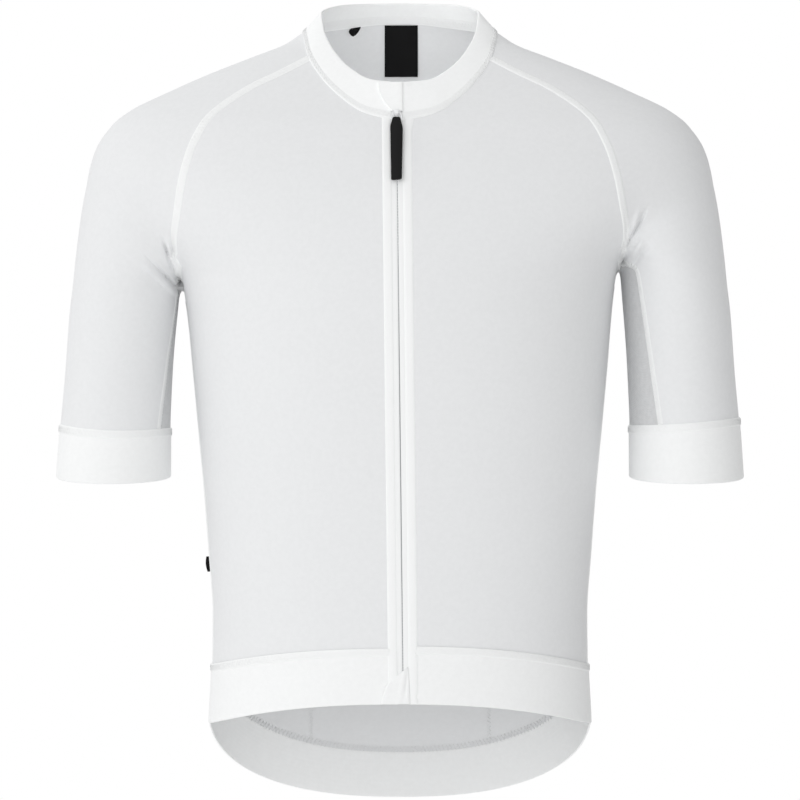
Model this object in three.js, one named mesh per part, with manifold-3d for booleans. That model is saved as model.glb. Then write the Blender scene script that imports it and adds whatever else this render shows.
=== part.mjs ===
// A short-sleeved cycling jersey in its worn form: raglan sleeves, stand collar, full front zip,
// hem band, cuffs and rear pockets. Millimetres, +Z up, the front faces -Y and the wearer's left
// arm is at +X. The origin is the middle of the neck base, level with the neck-shoulder points.
import * as THREE from 'three';
import { mergeVertices } from 'three/addons/utils/BufferGeometryUtils.js';
import Module from 'manifold-3d';

const wasm = await Module();
wasm.setup();

// Cloth and seams
const CLOTH = 1.2;
const RIB = 1.6;
const SEAM_GAP = 0.3;
const ARMPIT_GAP = 1.5;
const LAYER_GAP = 0.3;

// Torso sections: half the breadth, and the depth in front of and behind the side line.
const TORSO = [
  { z: -680, half: 163, front: 108, back: 114 },
  { z: -590, half: 162, front: 106.5, back: 107 },
  { z: -533, half: 159.4, front: 104, back: 99 },
  { z: -494, half: 159, front: 103.5, back: 93 },
  { z: -443, half: 162.4, front: 105, back: 89 },
  { z: -392, half: 166.2, front: 108.5, back: 90.5 },
  { z: -340, half: 171, front: 113, back: 96 },
  { z: -290, half: 175.5, front: 117, back: 103 },
  { z: -240, half: 180.2, front: 118.5, back: 108.5 },
  { z: -212, half: 186, front: 117.5, back: 110.5 },
  { z: -200, half: 193, front: 116.5, back: 111 },
  { z: -180, half: 210, front: 114, back: 111.5 },
  { z: -160, half: 228, front: 110, back: 111 },
  { z: -140, half: 242, front: 104.5, back: 109.5 },
  { z: -120, half: 251, front: 97, back: 107 },
  { z: -100, half: 253.5, front: 87, back: 104 },
  { z: -82, half: 245.5, front: 78, back: 100 },
  { z: -68, half: 228.5, front: 68, back: 96.5 },
  { z: -54, half: 200, front: 58.5, back: 92.5 },
  { z: -37, half: 162, front: 46, back: 87 },
  { z: -22, half: 124, front: 35, back: 80.5 },
  { z: -12, half: 98.6, front: 27, back: 76 },
  { z: 0, half: 80, front: 18, back: 71 },
  { z: 9, half: 62, front: 12, back: 66 },
  { z: 25, half: 45, front: 6, back: 57 },
];
const TORSO_POWER = 2.35;

// Sleeve sections: the inner and outer lines, half the depth, and the middle's place in depth.
const SLEEVE = [
  { z: -400, inner: 194.7, outer: 291.8, depth: 49.5, middle: -11 },
  { z: -342, inner: 194.7, outer: 288.2, depth: 50, middle: -8 },
  { z: -290, inner: 193, outer: 283.9, depth: 51.5, middle: -4 },
  { z: -240, inner: 189, outer: 280.5, depth: 54, middle: -1 },
  { z: -212, inner: 185.5, outer: 277.3, depth: 56, middle: 0 },
  { z: -200, inner: 172, outer: 276.2, depth: 57, middle: 0 },
  { z: -185, inner: 162, outer: 274.6, depth: 58.5, middle: 1 },
  { z: -160, inner: 150, outer: 271.5, depth: 60, middle: 2 },
  { z: -130, inner: 140, outer: 266, depth: 59.5, middle: 3 },
  { z: -112, inner: 132, outer: 259.5, depth: 57, middle: 4 },
  { z: -90, inner: 118, outer: 240, depth: 50, middle: 4 },
  { z: -60, inner: 90, outer: 185, depth: 36, middle: 4 },
];
const SLEEVE_TOP = -55;
// How widely the sleeve and torso forms run into each other.
const MELT = [
  { z: -300, reach: 3 },
  { z: -240, reach: 3 },
  { z: -212, reach: 6 },
  { z: -195, reach: 8 },
  { z: -175, reach: 12 },
  { z: -150, reach: 19 },
  { z: -110, reach: 24 },
  { z: -80, reach: 22 },
];

// The largest folds: a straight crest from one end to the other, by the side it is on.
const FOLD_FADE = 0.3;
const FOLDS = [
  { side: -1, face: -1, fromX: 203, fromZ: -173, toX: 190, toZ: -207, width: 5, rise: 2.2 },
  { side: -1, face: -1, fromX: 214, fromZ: -194, toX: 191, toZ: -215, width: 5, rise: 2.4 },
  { side: 1, face: -1, fromX: 209, fromZ: -152, toX: 193, toZ: -184, width: 6, rise: 2.4 },
  { side: 1, face: -1, fromX: 211, fromZ: -177, toX: 195, toZ: -196, width: 5, rise: 2.2 },
  { side: -1, face: 1, fromX: 210, fromZ: -168, toX: 193, toZ: -203, width: 6, rise: 2.2 },
  { side: 1, face: 1, fromX: 212, fromZ: -162, toX: 194, toZ: -198, width: 6, rise: 2.2 },
];

// Neck seam and collar rim, by turn from the centre front.
const NECK = [
  { turn: 0, x: 0, y: -78, z: -83 },
  { turn: 20, x: 28, y: -74, z: -75.5 },
  { turn: 40, x: 52.7, y: -60, z: -59 },
  { turn: 55, x: 67.2, y: -46, z: -43.5 },
  { turn: 70, x: 77.5, y: -28, z: -26 },
  { turn: 90, x: 82, y: 0, z: -1 },
  { turn: 112, x: 76, y: 27, z: 6 },
  { turn: 135, x: 58, y: 48, z: 10 },
  { turn: 158, x: 31, y: 62, z: 12.5 },
  { turn: 180, x: 0, y: 66, z: 13.5 },
];
const RIM = [
  { turn: 0, x: 0, y: -61, z: -48.5 },
  { turn: 20, x: 22.8, y: -57.3, z: -46 },
  { turn: 40, x: 42.8, y: -46.7, z: -34.4 },
  { turn: 60, x: 57.7, y: -30.5, z: -15.8 },
  { turn: 75, x: 64.3, y: -15.8, z: -0.2 },
  { turn: 90, x: 66.6, y: 0, z: 15.6 },
  { turn: 112, x: 61.8, y: 19.5, z: 21.5 },
  { turn: 135, x: 47.1, y: 36.8, z: 26.3 },
  { turn: 158, x: 25, y: 48.2, z: 28.4 },
  { turn: 180, x: 0, y: 52, z: 29 },
];
const RAGLAN_TURN = 68;
const BACK_RAGLAN_TURN = 135;
const ARMPIT_REACH = 60;

// Raglan seams from the neck to the armpit, for the wearer's left side.
const RAGLAN_FRONT = [
  { x: 101, y: -42, z: -38 },
  { x: 127, y: -48, z: -52 },
  { x: 156, y: -59, z: -74.5 },
  { x: 172, y: -70, z: -100 },
  { x: 180, y: -76, z: -127 },
  { x: 185, y: -73, z: -158 },
  { x: 189, y: -54, z: -188 },
  { x: 187, y: -36, z: -203 },
  { x: 186, y: -22, z: -211 },
];
const RAGLAN_BACK = [
  { x: 100, y: 60, z: -25 },
  { x: 127, y: 76, z: -52 },
  { x: 156, y: 82, z: -78 },
  { x: 172, y: 84, z: -105 },
  { x: 181, y: 82, z: -135 },
  { x: 187, y: 72, z: -165 },
  { x: 190, y: 50, z: -191 },
  { x: 187, y: 32, z: -204 },
  { x: 186, y: 14, z: -212 },
];
const ARMPIT = { x: 186, y: -6, z: -214 };
// The wearer's left armpit sits higher: how far, and how widely the cloth follows it.
const ARMPIT_LIFT = { rise: 14, reach: 50 };

// Sleeve ends: seam heights of the cuff, and the turn of the underarm panel's front seam at the
// upper arm and at the cuff.
const SLEEVE_ENDS = [
  { side: -1, name: 'right', outer: -334, front: -339, inner: -337, underarmTop: 14, underarm: 34 },
  { side: 1, name: 'left', outer: -328, front: -333, inner: -335, underarmTop: 44, underarm: 60 },
];
const UNDERARM_BACK = 45;
const UNDERARM_REACH = 13;
const UPPER_ARM = -191;
const UPPER_ARM_TILT = 41;
const CAP_BOW = 1.3;
const CAP_LEAST_BOW = 0.1;
const CUFF_BOTTOM = -378;
const CUFF_DIP = 5.8;
const CUFF_DIP_POWER = 0.8;

// Hem
const HEM_SIDE = -587.4;
const HEM_FRONT_RISE = 23.4;
const HEM_BACK_DROP = 75.5;
const HEM_EASE = 0.12;
const BAND_FRONT = 45;
const BAND_SIDE = 48.5;
const BAND_BACK = 40;
const BAND_PROUD = 0.7;
const BAND_TOP_ROLL = 0.3;
const BAND_FOOT_ROLL = 0.7;
const SIDE_SEAM_TURN = 82;
const ARMPIT_TURN = 89;
const SIDE_SEAM_EASE = 6;

// Zip
const ZIP_TOP_X = -2.8;
const ZIP_BOTTOM_X = 3;
const ZIP_TOP = -49.5;
const ZIP_BOTTOM = -560;
const ZIP_FROM = -83;
const ZIP_TO = -590;
const OPENING_HALF = 4.9;
const TAPE_HALF = 8.6;
const TAPE_THICK = 0.9;
const TAPE_PARTED = 1.7;
const TAPE_PARTED_BELOW = 2;
const STRIP_INNER = 5.1;
const STRIP_OUTER = 12;
const STRIP_THICK = 1;
const COIL_HALF = 1.8;
const COIL_THICK = 1;
const COIL_EASE = 0.3;
const COIL_TOP_DROP = 7;

const GARAGE = { top: -50, bottom: -74.5, topLeft: -15.5, bottomLeft: -4, right: 5.5, sweep: 2.2 };
const TUCK = { left: -17, right: 7.5, top: -547, bottom: -563, corner: 3 };

// Rear pockets, tag and labels
const POCKET_TOP = -452;
const POCKET_TURN = 104;
const POCKET_EASE = 1.1;
const POCKET_FOOT = 1;
const MOUTH_OUT = 0.8;
const MOUTH_IN = 0.5;
const LABEL_THICK = 0.8;
const LABEL_EASE = 1.1;
const TAB_EASE = 0.6;
const LABEL = { left: -13.4, right: 15.6, top: 11, bottom: -31 };
const TAB = { left: -44.5, right: -35, top: 10, bottom: 3 };
const SIDE_TAG = { turn: 98, top: -447, bottom: -460, reach: 5.5, taper: 0.85, thick: 1.2 };

// Slider and pull
const PIVOT_Z = -77;
const PIVOT_RISE = 4.2;
const SLIDER_TILT = 25;
const PULL_TILT = 25;
const SLIDER_FACE = 0.6;
const SLIDER_THICK = 1;
const SLIDER_SINK = 0.2;
const POST = { half: 1.1, bottom: 5, top: 8, rise: 0.5 };
const BRIDGE = { half: 1.7, reach: 2.3, foot: 1.2, thick: 1 };
const BOSS_WALL = 0.6;
const PLATE = { half: 4, shoulder: 2.5, top: 9, side: 7, foot: 3, bottom: -3 };
const WIRE = 0.6;
const RING = {
  topHalf: 2.6, shoulder: 3.8, shoulderDrop: 1, half: 4.9, cornerDrop: 5, cornerHalf: 4, drop: 6,
};
const PULL = {
  topHalf: 3, wideHalf: 5.2, endHalf: 4.4, length: 63.7, thick: 2,
  wideRight: 13, wideLeft: 15, corner: 1.2, endRise: 0.8, cornerRise: 2,
};

// Mesh counts
const RAGLAN_STEPS = 12;
const SIDE_STEPS = 14;
const FRONT_COLUMNS = 11;
const BACK_COLUMNS = 18;
const NECK_COLUMNS = 4;
const CAP_ROWS = 8;
const ARM_ROWS = 4;
const UNDERARM_STEPS = 2;
const CUFF_COLUMNS = 28;
const CUFF_ROWS = 4;
const HEM_ROWS = 3;
const COLLAR_COLUMNS = 30;
const COLLAR_ROWS = 3;
const COLLAR_SEAM_RISE = 0.02;
const ZIP_ROWS = 26;
const GARAGE_ROWS = 8;
const GARAGE_COLUMNS = 2;
const TUCK_ROWS = 3;
const TUCK_COLUMNS = 4;
const POCKET_ROWS = 9;
const TAG_ROWS = 2;
const RING_STEPS = 28;
const RING_SIDES = 8;
const BORE_SIDES = 12;
const PATH_SAMPLES = 120;
const CAP_SAMPLES = 40;
const RELAX_PASSES = 3;

// Searches on the form: Newton steps and their longest stride, halvings and their widest reach
const SETTLE_TURNS = 14;
const SETTLE_STRIDE = 15;
const HALVINGS = 40;
const WIDEST_DEPTH = 220;
const WIDEST_TURN = 60;

const colours = { panel: 0xf0f1f3, trim: 0xf8f9fa, black: 0x1b1b1c, metal: 0xe4e5e6 };
const cloth = (color) => new THREE.MeshStandardMaterial({ color, roughness: 0.85, metalness: 0 });
const painted = { color: colours.metal, roughness: 0.35, metalness: 0.6 };
const metal = () => new THREE.MeshStandardMaterial(painted);
const moulded = () => new THREE.MeshStandardMaterial({ color: colours.black, roughness: 0.6, metalness: 0 });

const mix = (a, b, t) => a + (b - a) * t;
const radians = (degrees) => (degrees * Math.PI) / 180;
const point = (x, y, z) => new THREE.Vector3(x, y, z);

// A smooth curve through one column of a table, with no overshoot between its rows.
function curve(rows, key, column) {
  const at = rows.map((row) => row[key]);
  const value = rows.map((row) => row[column]);
  const last = at.length - 1;
  const slope = at.slice(1).map((_, i) => (value[i + 1] - value[i]) / (at[i + 1] - at[i]));
  const tangent = value.map((_, i) => {
    if (i === 0) return slope[0];
    if (i === last) return slope[last - 1];
    const product = slope[i - 1] * slope[i];
    return product <= 0 ? 0 : (2 * product) / (slope[i - 1] + slope[i]);
  });
  return (x) => {
    if (x <= at[0]) return value[0] + tangent[0] * (x - at[0]);
    if (x >= at[last]) return value[last] + tangent[last] * (x - at[last]);
    let i = 0;
    while (x > at[i + 1]) i += 1;
    const span = at[i + 1] - at[i];
    const t = (x - at[i]) / span;
    const rise = t * t * (3 - 2 * t);
    const start = t * (1 - t) * (1 - t) * span * tangent[i];
    const end = t * t * (t - 1) * span * tangent[i + 1];
    return mix(value[i], value[i + 1], rise) + start + end;
  };
}

const curves = (rows, key, columns) =>
  Object.fromEntries(columns.map((column) => [column, curve(rows, key, column)]));
const torso = curves(TORSO, 'z', ['half', 'front', 'back']);
const sleeve = curves(SLEEVE, 'z', ['inner', 'outer', 'depth', 'middle']);
const melt = curve(MELT, 'z', 'reach');
const neckAt = curves(NECK, 'turn', ['x', 'y', 'z']);
const rimAt = curves(RIM, 'turn', ['x', 'y', 'z']);

// How far the folds push the cloth out at a place.
function foldRise(x, y, z) {
  let rise = 0;
  for (const fold of FOLDS) {
    if (x * fold.side < 0 || y * fold.face < 0) continue;
    const alongX = fold.toX - fold.fromX;
    const alongZ = fold.toZ - fold.fromZ;
    const dx = Math.abs(x) - fold.fromX;
    const dz = z - fold.fromZ;
    const t = (dx * alongX + dz * alongZ) / (alongX ** 2 + alongZ ** 2);
    if (t < -FOLD_FADE || t > 1 + FOLD_FADE) continue;
    const away = Math.abs(dx * alongZ - dz * alongX) / Math.hypot(alongX, alongZ);
    const fade = Math.sin((Math.PI * (t + FOLD_FADE)) / (1 + 2 * FOLD_FADE)) ** 2;
    rise += fold.rise * fade * Math.exp(-((away / fold.width) ** 2));
  }
  return rise;
}

// The worn form, as a distance: below 0 inside the garment, 0 on its cloth.
function form(x, y, z) {
  const side = Math.abs(x);
  const half = torso.half(z);
  const depth = y < 0 ? torso.front(z) : torso.back(z);
  const round = ((side / half) ** TORSO_POWER + (Math.abs(y) / depth) ** TORSO_POWER) ** (1 / TORSO_POWER);
  const body = Math.hypot(side, y) * (1 - 1 / Math.max(round, 1e-6));
  if (z > SLEEVE_TOP) return body;
  const centre = (sleeve.inner(z) + sleeve.outer(z)) / 2;
  const width = (sleeve.outer(z) - sleeve.inner(z)) / 2;
  const back = y - sleeve.middle(z);
  const ring = Math.hypot((side - centre) / width, back / sleeve.depth(z));
  const arm = Math.hypot(side - centre, back) * (1 - 1 / Math.max(ring, 1e-6));
  const reach = melt(z);
  const near = Math.max(reach - Math.abs(body - arm), 0) / reach;
  return Math.min(body, arm) - (near * near * reach) / 4 - foldRise(x, y, z);
}

function slopeAt(p) {
  const step = 0.05;
  return point(
    form(p.x + step, p.y, p.z) - form(p.x - step, p.y, p.z),
    form(p.x, p.y + step, p.z) - form(p.x, p.y - step, p.z),
    form(p.x, p.y, p.z + step) - form(p.x, p.y, p.z - step),
  ).divideScalar(2 * step);
}

// Moves a point to the nearest cloth of the worn form.
function settle(guess) {
  const p = guess.clone();
  for (let turn = 0; turn < SETTLE_TURNS; turn += 1) {
    const slope = slopeAt(p);
    const move = slope.multiplyScalar(-form(p.x, p.y, p.z) / slope.lengthSq());
    p.add(move.clampLength(0, SETTLE_STRIDE));
  }
  return p;
}

const onForm = (p) => ({ p, n: slopeAt(p).normalize() });
const settled = (guess) => onForm(settle(guess));

// The cloth seen straight from the front (face -1) or the back (face 1).
function facing(x, z, face) {
  let inside = 0;
  let outside = WIDEST_DEPTH;
  for (let turn = 0; turn < HALVINGS; turn += 1) {
    const middle = (inside + outside) / 2;
    if (form(x, middle * face, z) > 0) outside = middle;
    else inside = middle;
  }
  return onForm(point(x, inside * face, z));
}

// A place on the torso by its turn from the centre front.
function torsoGuess(turn, z, side) {
  const angle = radians(turn);
  const power = 2 / TORSO_POWER;
  const across = Math.abs(Math.sin(angle)) ** power * torso.half(z) * side;
  const depth = Math.abs(Math.cos(angle)) ** power;
  return point(across, Math.cos(angle) > 0 ? -depth * torso.front(z) : depth * torso.back(z), z);
}

function hemHeight(turn) {
  const depth = Math.abs(Math.cos(radians(turn))) ** (2 / TORSO_POWER);
  if (turn <= 90) return HEM_SIDE + HEM_FRONT_RISE * depth ** 2;
  return HEM_SIDE - (HEM_BACK_DROP * (1 + HEM_EASE) * depth ** 2) / (depth + HEM_EASE);
}

function bandHeight(turn) {
  const depth = Math.cos(radians(turn)) ** 2;
  return mix(BAND_SIDE, turn <= 90 ? BAND_FRONT : BAND_BACK, depth);
}

const hemSeamHeight = (turn) => hemHeight(turn) + bandHeight(turn);

function torsoPoint(turn, z, side) {
  return settled(torsoGuess(turn, z, side));
}

const zipX = (z) => mix(ZIP_TOP_X, ZIP_BOTTOM_X, (z - ZIP_FROM) / (ZIP_TO - ZIP_FROM));

// Grids: rows of places, each with its point p and outward normal n.
function mirrored(grid) {
  return grid.map((row) => row.map(({ p, n }) => ({ p: point(-p.x, p.y, p.z), n: point(-n.x, n.y, n.z) })));
}

// A seam's gap, wider where the cloth turns sharply under the arm.
function seamGap(p) {
  const away = Math.hypot(Math.abs(p.x) - ARMPIT.x, p.z - ARMPIT.z);
  return mix(ARMPIT_GAP, SEAM_GAP, Math.min(1, away / ARMPIT_REACH));
}

// Draws a grid's edges in, so that a seam has its gap. At the turn row the side edge bends from one
// seam into the next, and is drawn in from both.
function drawIn(grid, edges, turnRow = -1) {
  const last = grid.length - 1;
  const end = grid[0].length - 1;
  const moves = [];
  const draw = (here, before, after, inner) => {
    const across = here.n.clone().cross(after.p.clone().sub(before.p)).normalize();
    if (across.dot(inner.p.clone().sub(here.p)) < 0) across.negate();
    moves.push([here, across.multiplyScalar(seamGap(here.p) / 2)]);
  };
  const row = (r) => Math.min(last, Math.max(0, r));
  const column = (c) => Math.min(end, Math.max(0, c));
  for (let c = 0; c <= end; c += 1) {
    for (const [name, r, inner] of [['top', 0, 1], ['bottom', last, last - 1]]) {
      const line = grid[r];
      if (edges.includes(name)) draw(line[c], line[column(c - 1)], line[column(c + 1)], grid[inner][c]);
    }
  }
  for (let r = 0; r <= last; r += 1) {
    for (const [name, c, inner] of [['left', 0, 1], ['right', end, end - 1]]) {
      if (!edges.includes(name)) continue;
      const here = grid[r][c];
      const before = grid[row(r - 1)][c];
      const after = grid[row(r + 1)][c];
      if (r === turnRow) {
        draw(here, before, here, grid[r][inner]);
        draw({ ...here, n: after.n }, here, after, grid[r][inner]);
        moves[moves.length - 1][0] = here;
      } else draw(here, before, after, grid[r][inner]);
    }
  }
  for (const [place, move] of moves) place.p = place.p.clone().add(move);
  return grid;
}

// A grid's rows and columns, each place made from its row and column numbers.
const makeGrid = (rows, columns, place) => Array.from({ length: rows + 1 }, (_, r) =>
  Array.from({ length: columns + 1 }, (__, c) => place(r, c)));

function lifted(p) {
  if (p.x > 0) {
    const away = Math.hypot(p.x - ARMPIT.x, p.z - ARMPIT.z) / ARMPIT_LIFT.reach;
    p.z += ARMPIT_LIFT.rise * Math.exp(-away * away);
  }
  return p;
}

// A closed cloth wall between two heights over a grid.
function wall(grid, outer, inner, round = false) {
  const rows = grid.length;
  const columns = grid[0].length;
  const height = (value, r, c) => (typeof value === 'function' ? value(r, c) : value);
  const positions = [];
  for (const level of [outer, inner]) {
    grid.forEach((row, r) => row.forEach(({ p, n }, c) => {
      positions.push(...lifted(p.clone().addScaledVector(n, height(level, r, c))).toArray());
    }));
  }
  const outside = (r, c) => r * columns + (c % columns);
  const inside = (r, c) => rows * columns + outside(r, c);
  const index = [];
  const quad = (a, b, c, d) => index.push(a, b, c, a, c, d);
  const across = round ? columns : columns - 1;
  for (let r = 0; r < rows - 1; r += 1) {
    for (let c = 0; c < across; c += 1) {
      quad(outside(r, c), outside(r + 1, c), outside(r + 1, c + 1), outside(r, c + 1));
      quad(inside(r, c), inside(r, c + 1), inside(r + 1, c + 1), inside(r + 1, c));
    }
  }
  for (let c = 0; c < across; c += 1) {
    quad(outside(0, c), outside(0, c + 1), inside(0, c + 1), inside(0, c));
    quad(outside(rows - 1, c + 1), outside(rows - 1, c), inside(rows - 1, c), inside(rows - 1, c + 1));
  }
  if (!round) {
    for (let r = 0; r < rows - 1; r += 1) {
      quad(outside(r + 1, 0), outside(r, 0), inside(r, 0), inside(r + 1, 0));
      quad(outside(r, across), outside(r + 1, across), inside(r + 1, across), inside(r, across));
    }
  }
  return facingOut(positions, index);
}

function facingOut(positions, index) {
  let volume = 0;
  const corner = (i) => point(...positions.slice(3 * i, 3 * i + 3));
  for (let i = 0; i < index.length; i += 3) {
    volume += corner(index[i]).dot(corner(index[i + 1]).cross(corner(index[i + 2])));
  }
  const ordered = volume > 0 ? index : index.slice().reverse();
  const geometry = new THREE.BufferGeometry();
  geometry.setAttribute('position', new THREE.Float32BufferAttribute(positions, 3));
  geometry.setIndex(ordered);
  geometry.computeVertexNormals();
  return geometry;
}

// Places at even steps along a list of places.
function evenly(places, steps) {
  const run = [0];
  for (let i = 1; i < places.length; i += 1) run.push(run[i - 1] + places[i].distanceTo(places[i - 1]));
  const total = run[run.length - 1];
  return Array.from({ length: steps + 1 }, (_, k) => {
    const want = (total * k) / steps;
    let i = 1;
    while (i < run.length - 1 && run[i] < want) i += 1;
    return places[i - 1].clone().lerp(places[i], (want - run[i - 1]) / (run[i] - run[i - 1]));
  });
}

const neckPoint = (turn, side = 1) => settle(point(neckAt.x(turn) * side, neckAt.y(turn), neckAt.z(turn)));

function raglan(rows, turn) {
  const corners = [neckPoint(turn), ...rows.map(({ x, y, z }) => settle(point(x, y, z)))];
  corners.push(settle(point(ARMPIT.x, ARMPIT.y, ARMPIT.z)));
  const path = new THREE.CatmullRomCurve3(corners, false, 'centripetal').getPoints(PATH_SAMPLES).map(settle);
  const fine = evenly(path, PATH_SAMPLES);
  const length = path.slice(1).reduce((sum, p, k) => sum + p.distanceTo(path[k]), 0);
  const split = Math.round(PATH_SAMPLES * (1 - UNDERARM_REACH / length));
  const upper = evenly(fine.slice(0, split + 1), RAGLAN_STEPS - UNDERARM_STEPS);
  const lower = evenly(fine.slice(split), UNDERARM_STEPS);
  return [...upper, ...lower.slice(1)].map(settle);
}

const raglanFront = raglan(RAGLAN_FRONT, RAGLAN_TURN);
const raglanBack = raglan(RAGLAN_BACK, BACK_RAGLAN_TURN);

const armpit = raglanFront[RAGLAN_STEPS];
const sideSeam = (() => {
  const bottom = hemSeamHeight(SIDE_SEAM_TURN);
  const places = [armpit];
  for (let k = 1; k <= SIDE_STEPS; k += 1) {
    const t = k / SIDE_STEPS;
    const ease = Math.exp(-SIDE_SEAM_EASE * t) - Math.exp(-SIDE_SEAM_EASE) * t;
    places.push(torsoPoint(mix(SIDE_SEAM_TURN, ARMPIT_TURN, ease), mix(armpit.z, bottom, t), 1).p);
  }
  return places;
})();

const flipped = (places, side) => places.map((p) => point(p.x * side, p.y, p.z));

// A panel's grid filled in from its four edges, each point settled on the form.
function panel(top, bottom, left, right) {
  const rows = left.length - 1;
  const columns = top.length - 1;
  return left.map((_, r) => top.map((__, c) => {
    const u = c / columns;
    const v = r / rows;
    const guess = left[r].clone().multiplyScalar(1 - u).addScaledVector(right[r], u);
    guess.addScaledVector(top[c], 1 - v).addScaledVector(bottom[c], v);
    guess.addScaledVector(top[0], -(1 - u) * (1 - v)).addScaledVector(top[columns], -u * (1 - v));
    guess.addScaledVector(bottom[0], -(1 - u) * v).addScaledVector(bottom[columns], -u * v);
    const edge = r === 0 || r === rows || c === 0 || c === columns;
    return edge ? onForm(guess) : settled(guess);
  }));
}

function zipEdge(side, steps) {
  const top = neckAt.z(0);
  const bottom = hemSeamHeight(0);
  return Array.from({ length: steps + 1 }, (_, k) => {
    const z = mix(top, bottom, k / steps);
    return facing(zipX(z) + side * OPENING_HALF, z, -1).p;
  });
}

// The turn at which a row of the neck or hem is a given distance across.
function turnOf(rowX, across) {
  let low = 0;
  let high = WIDEST_TURN;
  for (let turn = 0; turn < HALVINGS; turn += 1) {
    const middle = (low + high) / 2;
    if (rowX(middle) < across) low = middle;
    else high = middle;
  }
  return low;
}

function frontGrid(side) {
  const left = zipEdge(side, RAGLAN_STEPS + SIDE_STEPS);
  const right = flipped([...raglanFront, ...sideSeam.slice(1)], side);
  const neckStart = turnOf(neckAt.x, Math.abs(left[0].x));
  const top = left.slice(0, 1);
  for (let c = 1; c <= FRONT_COLUMNS; c += 1) {
    top.push(neckPoint(mix(neckStart, RAGLAN_TURN, c / FRONT_COLUMNS), side));
  }
  return panel(top, hemSeamRow(side).map(({ p }) => p), left, right);
}

// The turns of the hem seam across one front, from the zip edge to the side seam.
function hemTurns(edge) {
  const across = (turn) => Math.abs(torsoGuess(turn, hemSeamHeight(turn), 1).x);
  const start = turnOf(across, Math.abs(edge.p.x));
  return Array.from({ length: FRONT_COLUMNS + 1 }, (_, c) => mix(start, SIDE_SEAM_TURN, c / FRONT_COLUMNS));
}

const hemZipEdge = (side) => facing(zipX(hemSeamHeight(0)) + side * OPENING_HALF, hemSeamHeight(0), -1);

function hemSeamRow(side) {
  const edge = hemZipEdge(side);
  const middle = hemTurns(edge).slice(1, -1).map((turn) => torsoPoint(turn, hemSeamHeight(turn), side));
  return [edge, ...middle, onForm(flipped(sideSeam.slice(-1), side)[0])];
}

const backTurns = Array.from({ length: BACK_COLUMNS + 1 }, (_, c) => c / BACK_COLUMNS);

// Goes round the back from the wearer's right (u 0) to the left (u 1).
function roundBack(u, start) {
  const turn = mix(start, 360 - start, u);
  return turn <= 180 ? { turn, side: -1 } : { turn: 360 - turn, side: 1 };
}

function backGrid() {
  const right = [...raglanBack, ...sideSeam.slice(1)];
  const left = flipped(right, -1);
  const top = backTurns.map((u) => {
    const { turn, side } = roundBack(u, BACK_RAGLAN_TURN);
    return neckPoint(turn, side);
  });
  const bottom = backTurns.map((u) => {
    const { turn, side } = roundBack(u, SIDE_SEAM_TURN);
    return torsoPoint(turn, hemSeamHeight(turn), side).p;
  });
  bottom[0] = left[left.length - 1];
  bottom[BACK_COLUMNS] = right[right.length - 1];
  return panel(top, bottom, left, right);
}

// One place on the cuff seam, by its turn from the sleeve's inner line towards the front.
function sleeveRing(turn, z) {
  const angle = radians(turn);
  const centre = (sleeve.inner(z) + sleeve.outer(z)) / 2;
  const width = (sleeve.outer(z) - sleeve.inner(z)) / 2;
  return point(centre - width * Math.cos(angle), sleeve.middle(z) - sleeve.depth(z) * Math.sin(angle), z);
}

function cuffSeam(end, turn) {
  const middle = (end.inner + end.outer) / 2;
  const tilt = ((end.inner - end.outer) / 2) * Math.cos(radians(turn));
  return middle + tilt + (end.front - middle) * Math.sin(radians(turn)) ** 2;
}

// One lengthwise line of the sleeve: over the cap to the upper arm, then straight down to the cuff.
function sleeveLine(start, across, turns, end) {
  const armTop = UPPER_ARM - UPPER_ARM_TILT * Math.cos(radians(turns.top));
  const upper = settle(sleeveRing(turns.top, armTop));
  const length = upper.distanceTo(start);
  const lean = Math.max(CAP_LEAST_BOW, across.dot(upper.clone().sub(start)) / length);
  const first = across.clone().multiplyScalar(length * Math.min(1, lean * CAP_BOW));
  const last = point(0, 0, -length);
  const cap = [];
  for (let k = 0; k <= CAP_SAMPLES; k += 1) {
    const t = k / CAP_SAMPLES;
    const guess = start.clone().lerp(upper, t * t * (3 - 2 * t));
    guess.addScaledVector(first, t * (1 - t) * (1 - t)).addScaledVector(last, t * t * (t - 1));
    cap.push(settle(guess));
  }
  const line = evenly(cap, CAP_ROWS).map(settle);
  for (let r = 1; r <= ARM_ROWS; r += 1) {
    const turn = mix(turns.top, turns.cuff, r / ARM_ROWS);
    line.push(settle(sleeveRing(turn, mix(armTop, cuffSeam(end, turns.cuff), r / ARM_ROWS))));
  }
  return line;
}

// The armhole loop as places with their turn on the cuff, from the underarm's front seam over the
// shoulder to its back seam, then back through the armpit.
function armhole(end) {
  const shoulder = [];
  for (let k = 1; k < NECK_COLUMNS; k += 1) {
    shoulder.push(neckPoint(mix(RAGLAN_TURN, BACK_RAGLAN_TURN, k / NECK_COLUMNS)));
  }
  const low = RAGLAN_STEPS - UNDERARM_STEPS;
  const upper = [...raglanFront.slice(0, low + 1).reverse(), ...shoulder, ...raglanBack.slice(0, low + 1)];
  const lower = [...raglanBack.slice(low), ...raglanFront.slice(low, -1).reverse()];
  const back = 360 - UNDERARM_BACK;
  const turned = (places, from, to) => places.map((p, k) => {
    const u = k / (places.length - 1);
    return { p, turns: { top: mix(from.top, to.top, u), cuff: mix(from.cuff, to.cuff, u) } };
  });
  const front = { top: end.underarmTop, cuff: end.underarm };
  return {
    upper: turned(upper, front, { top: back, cuff: back }),
    lower: turned(lower, { top: back, cuff: back }, { top: front.top + 360, cuff: front.cuff + 360 }),
  };
}

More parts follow.
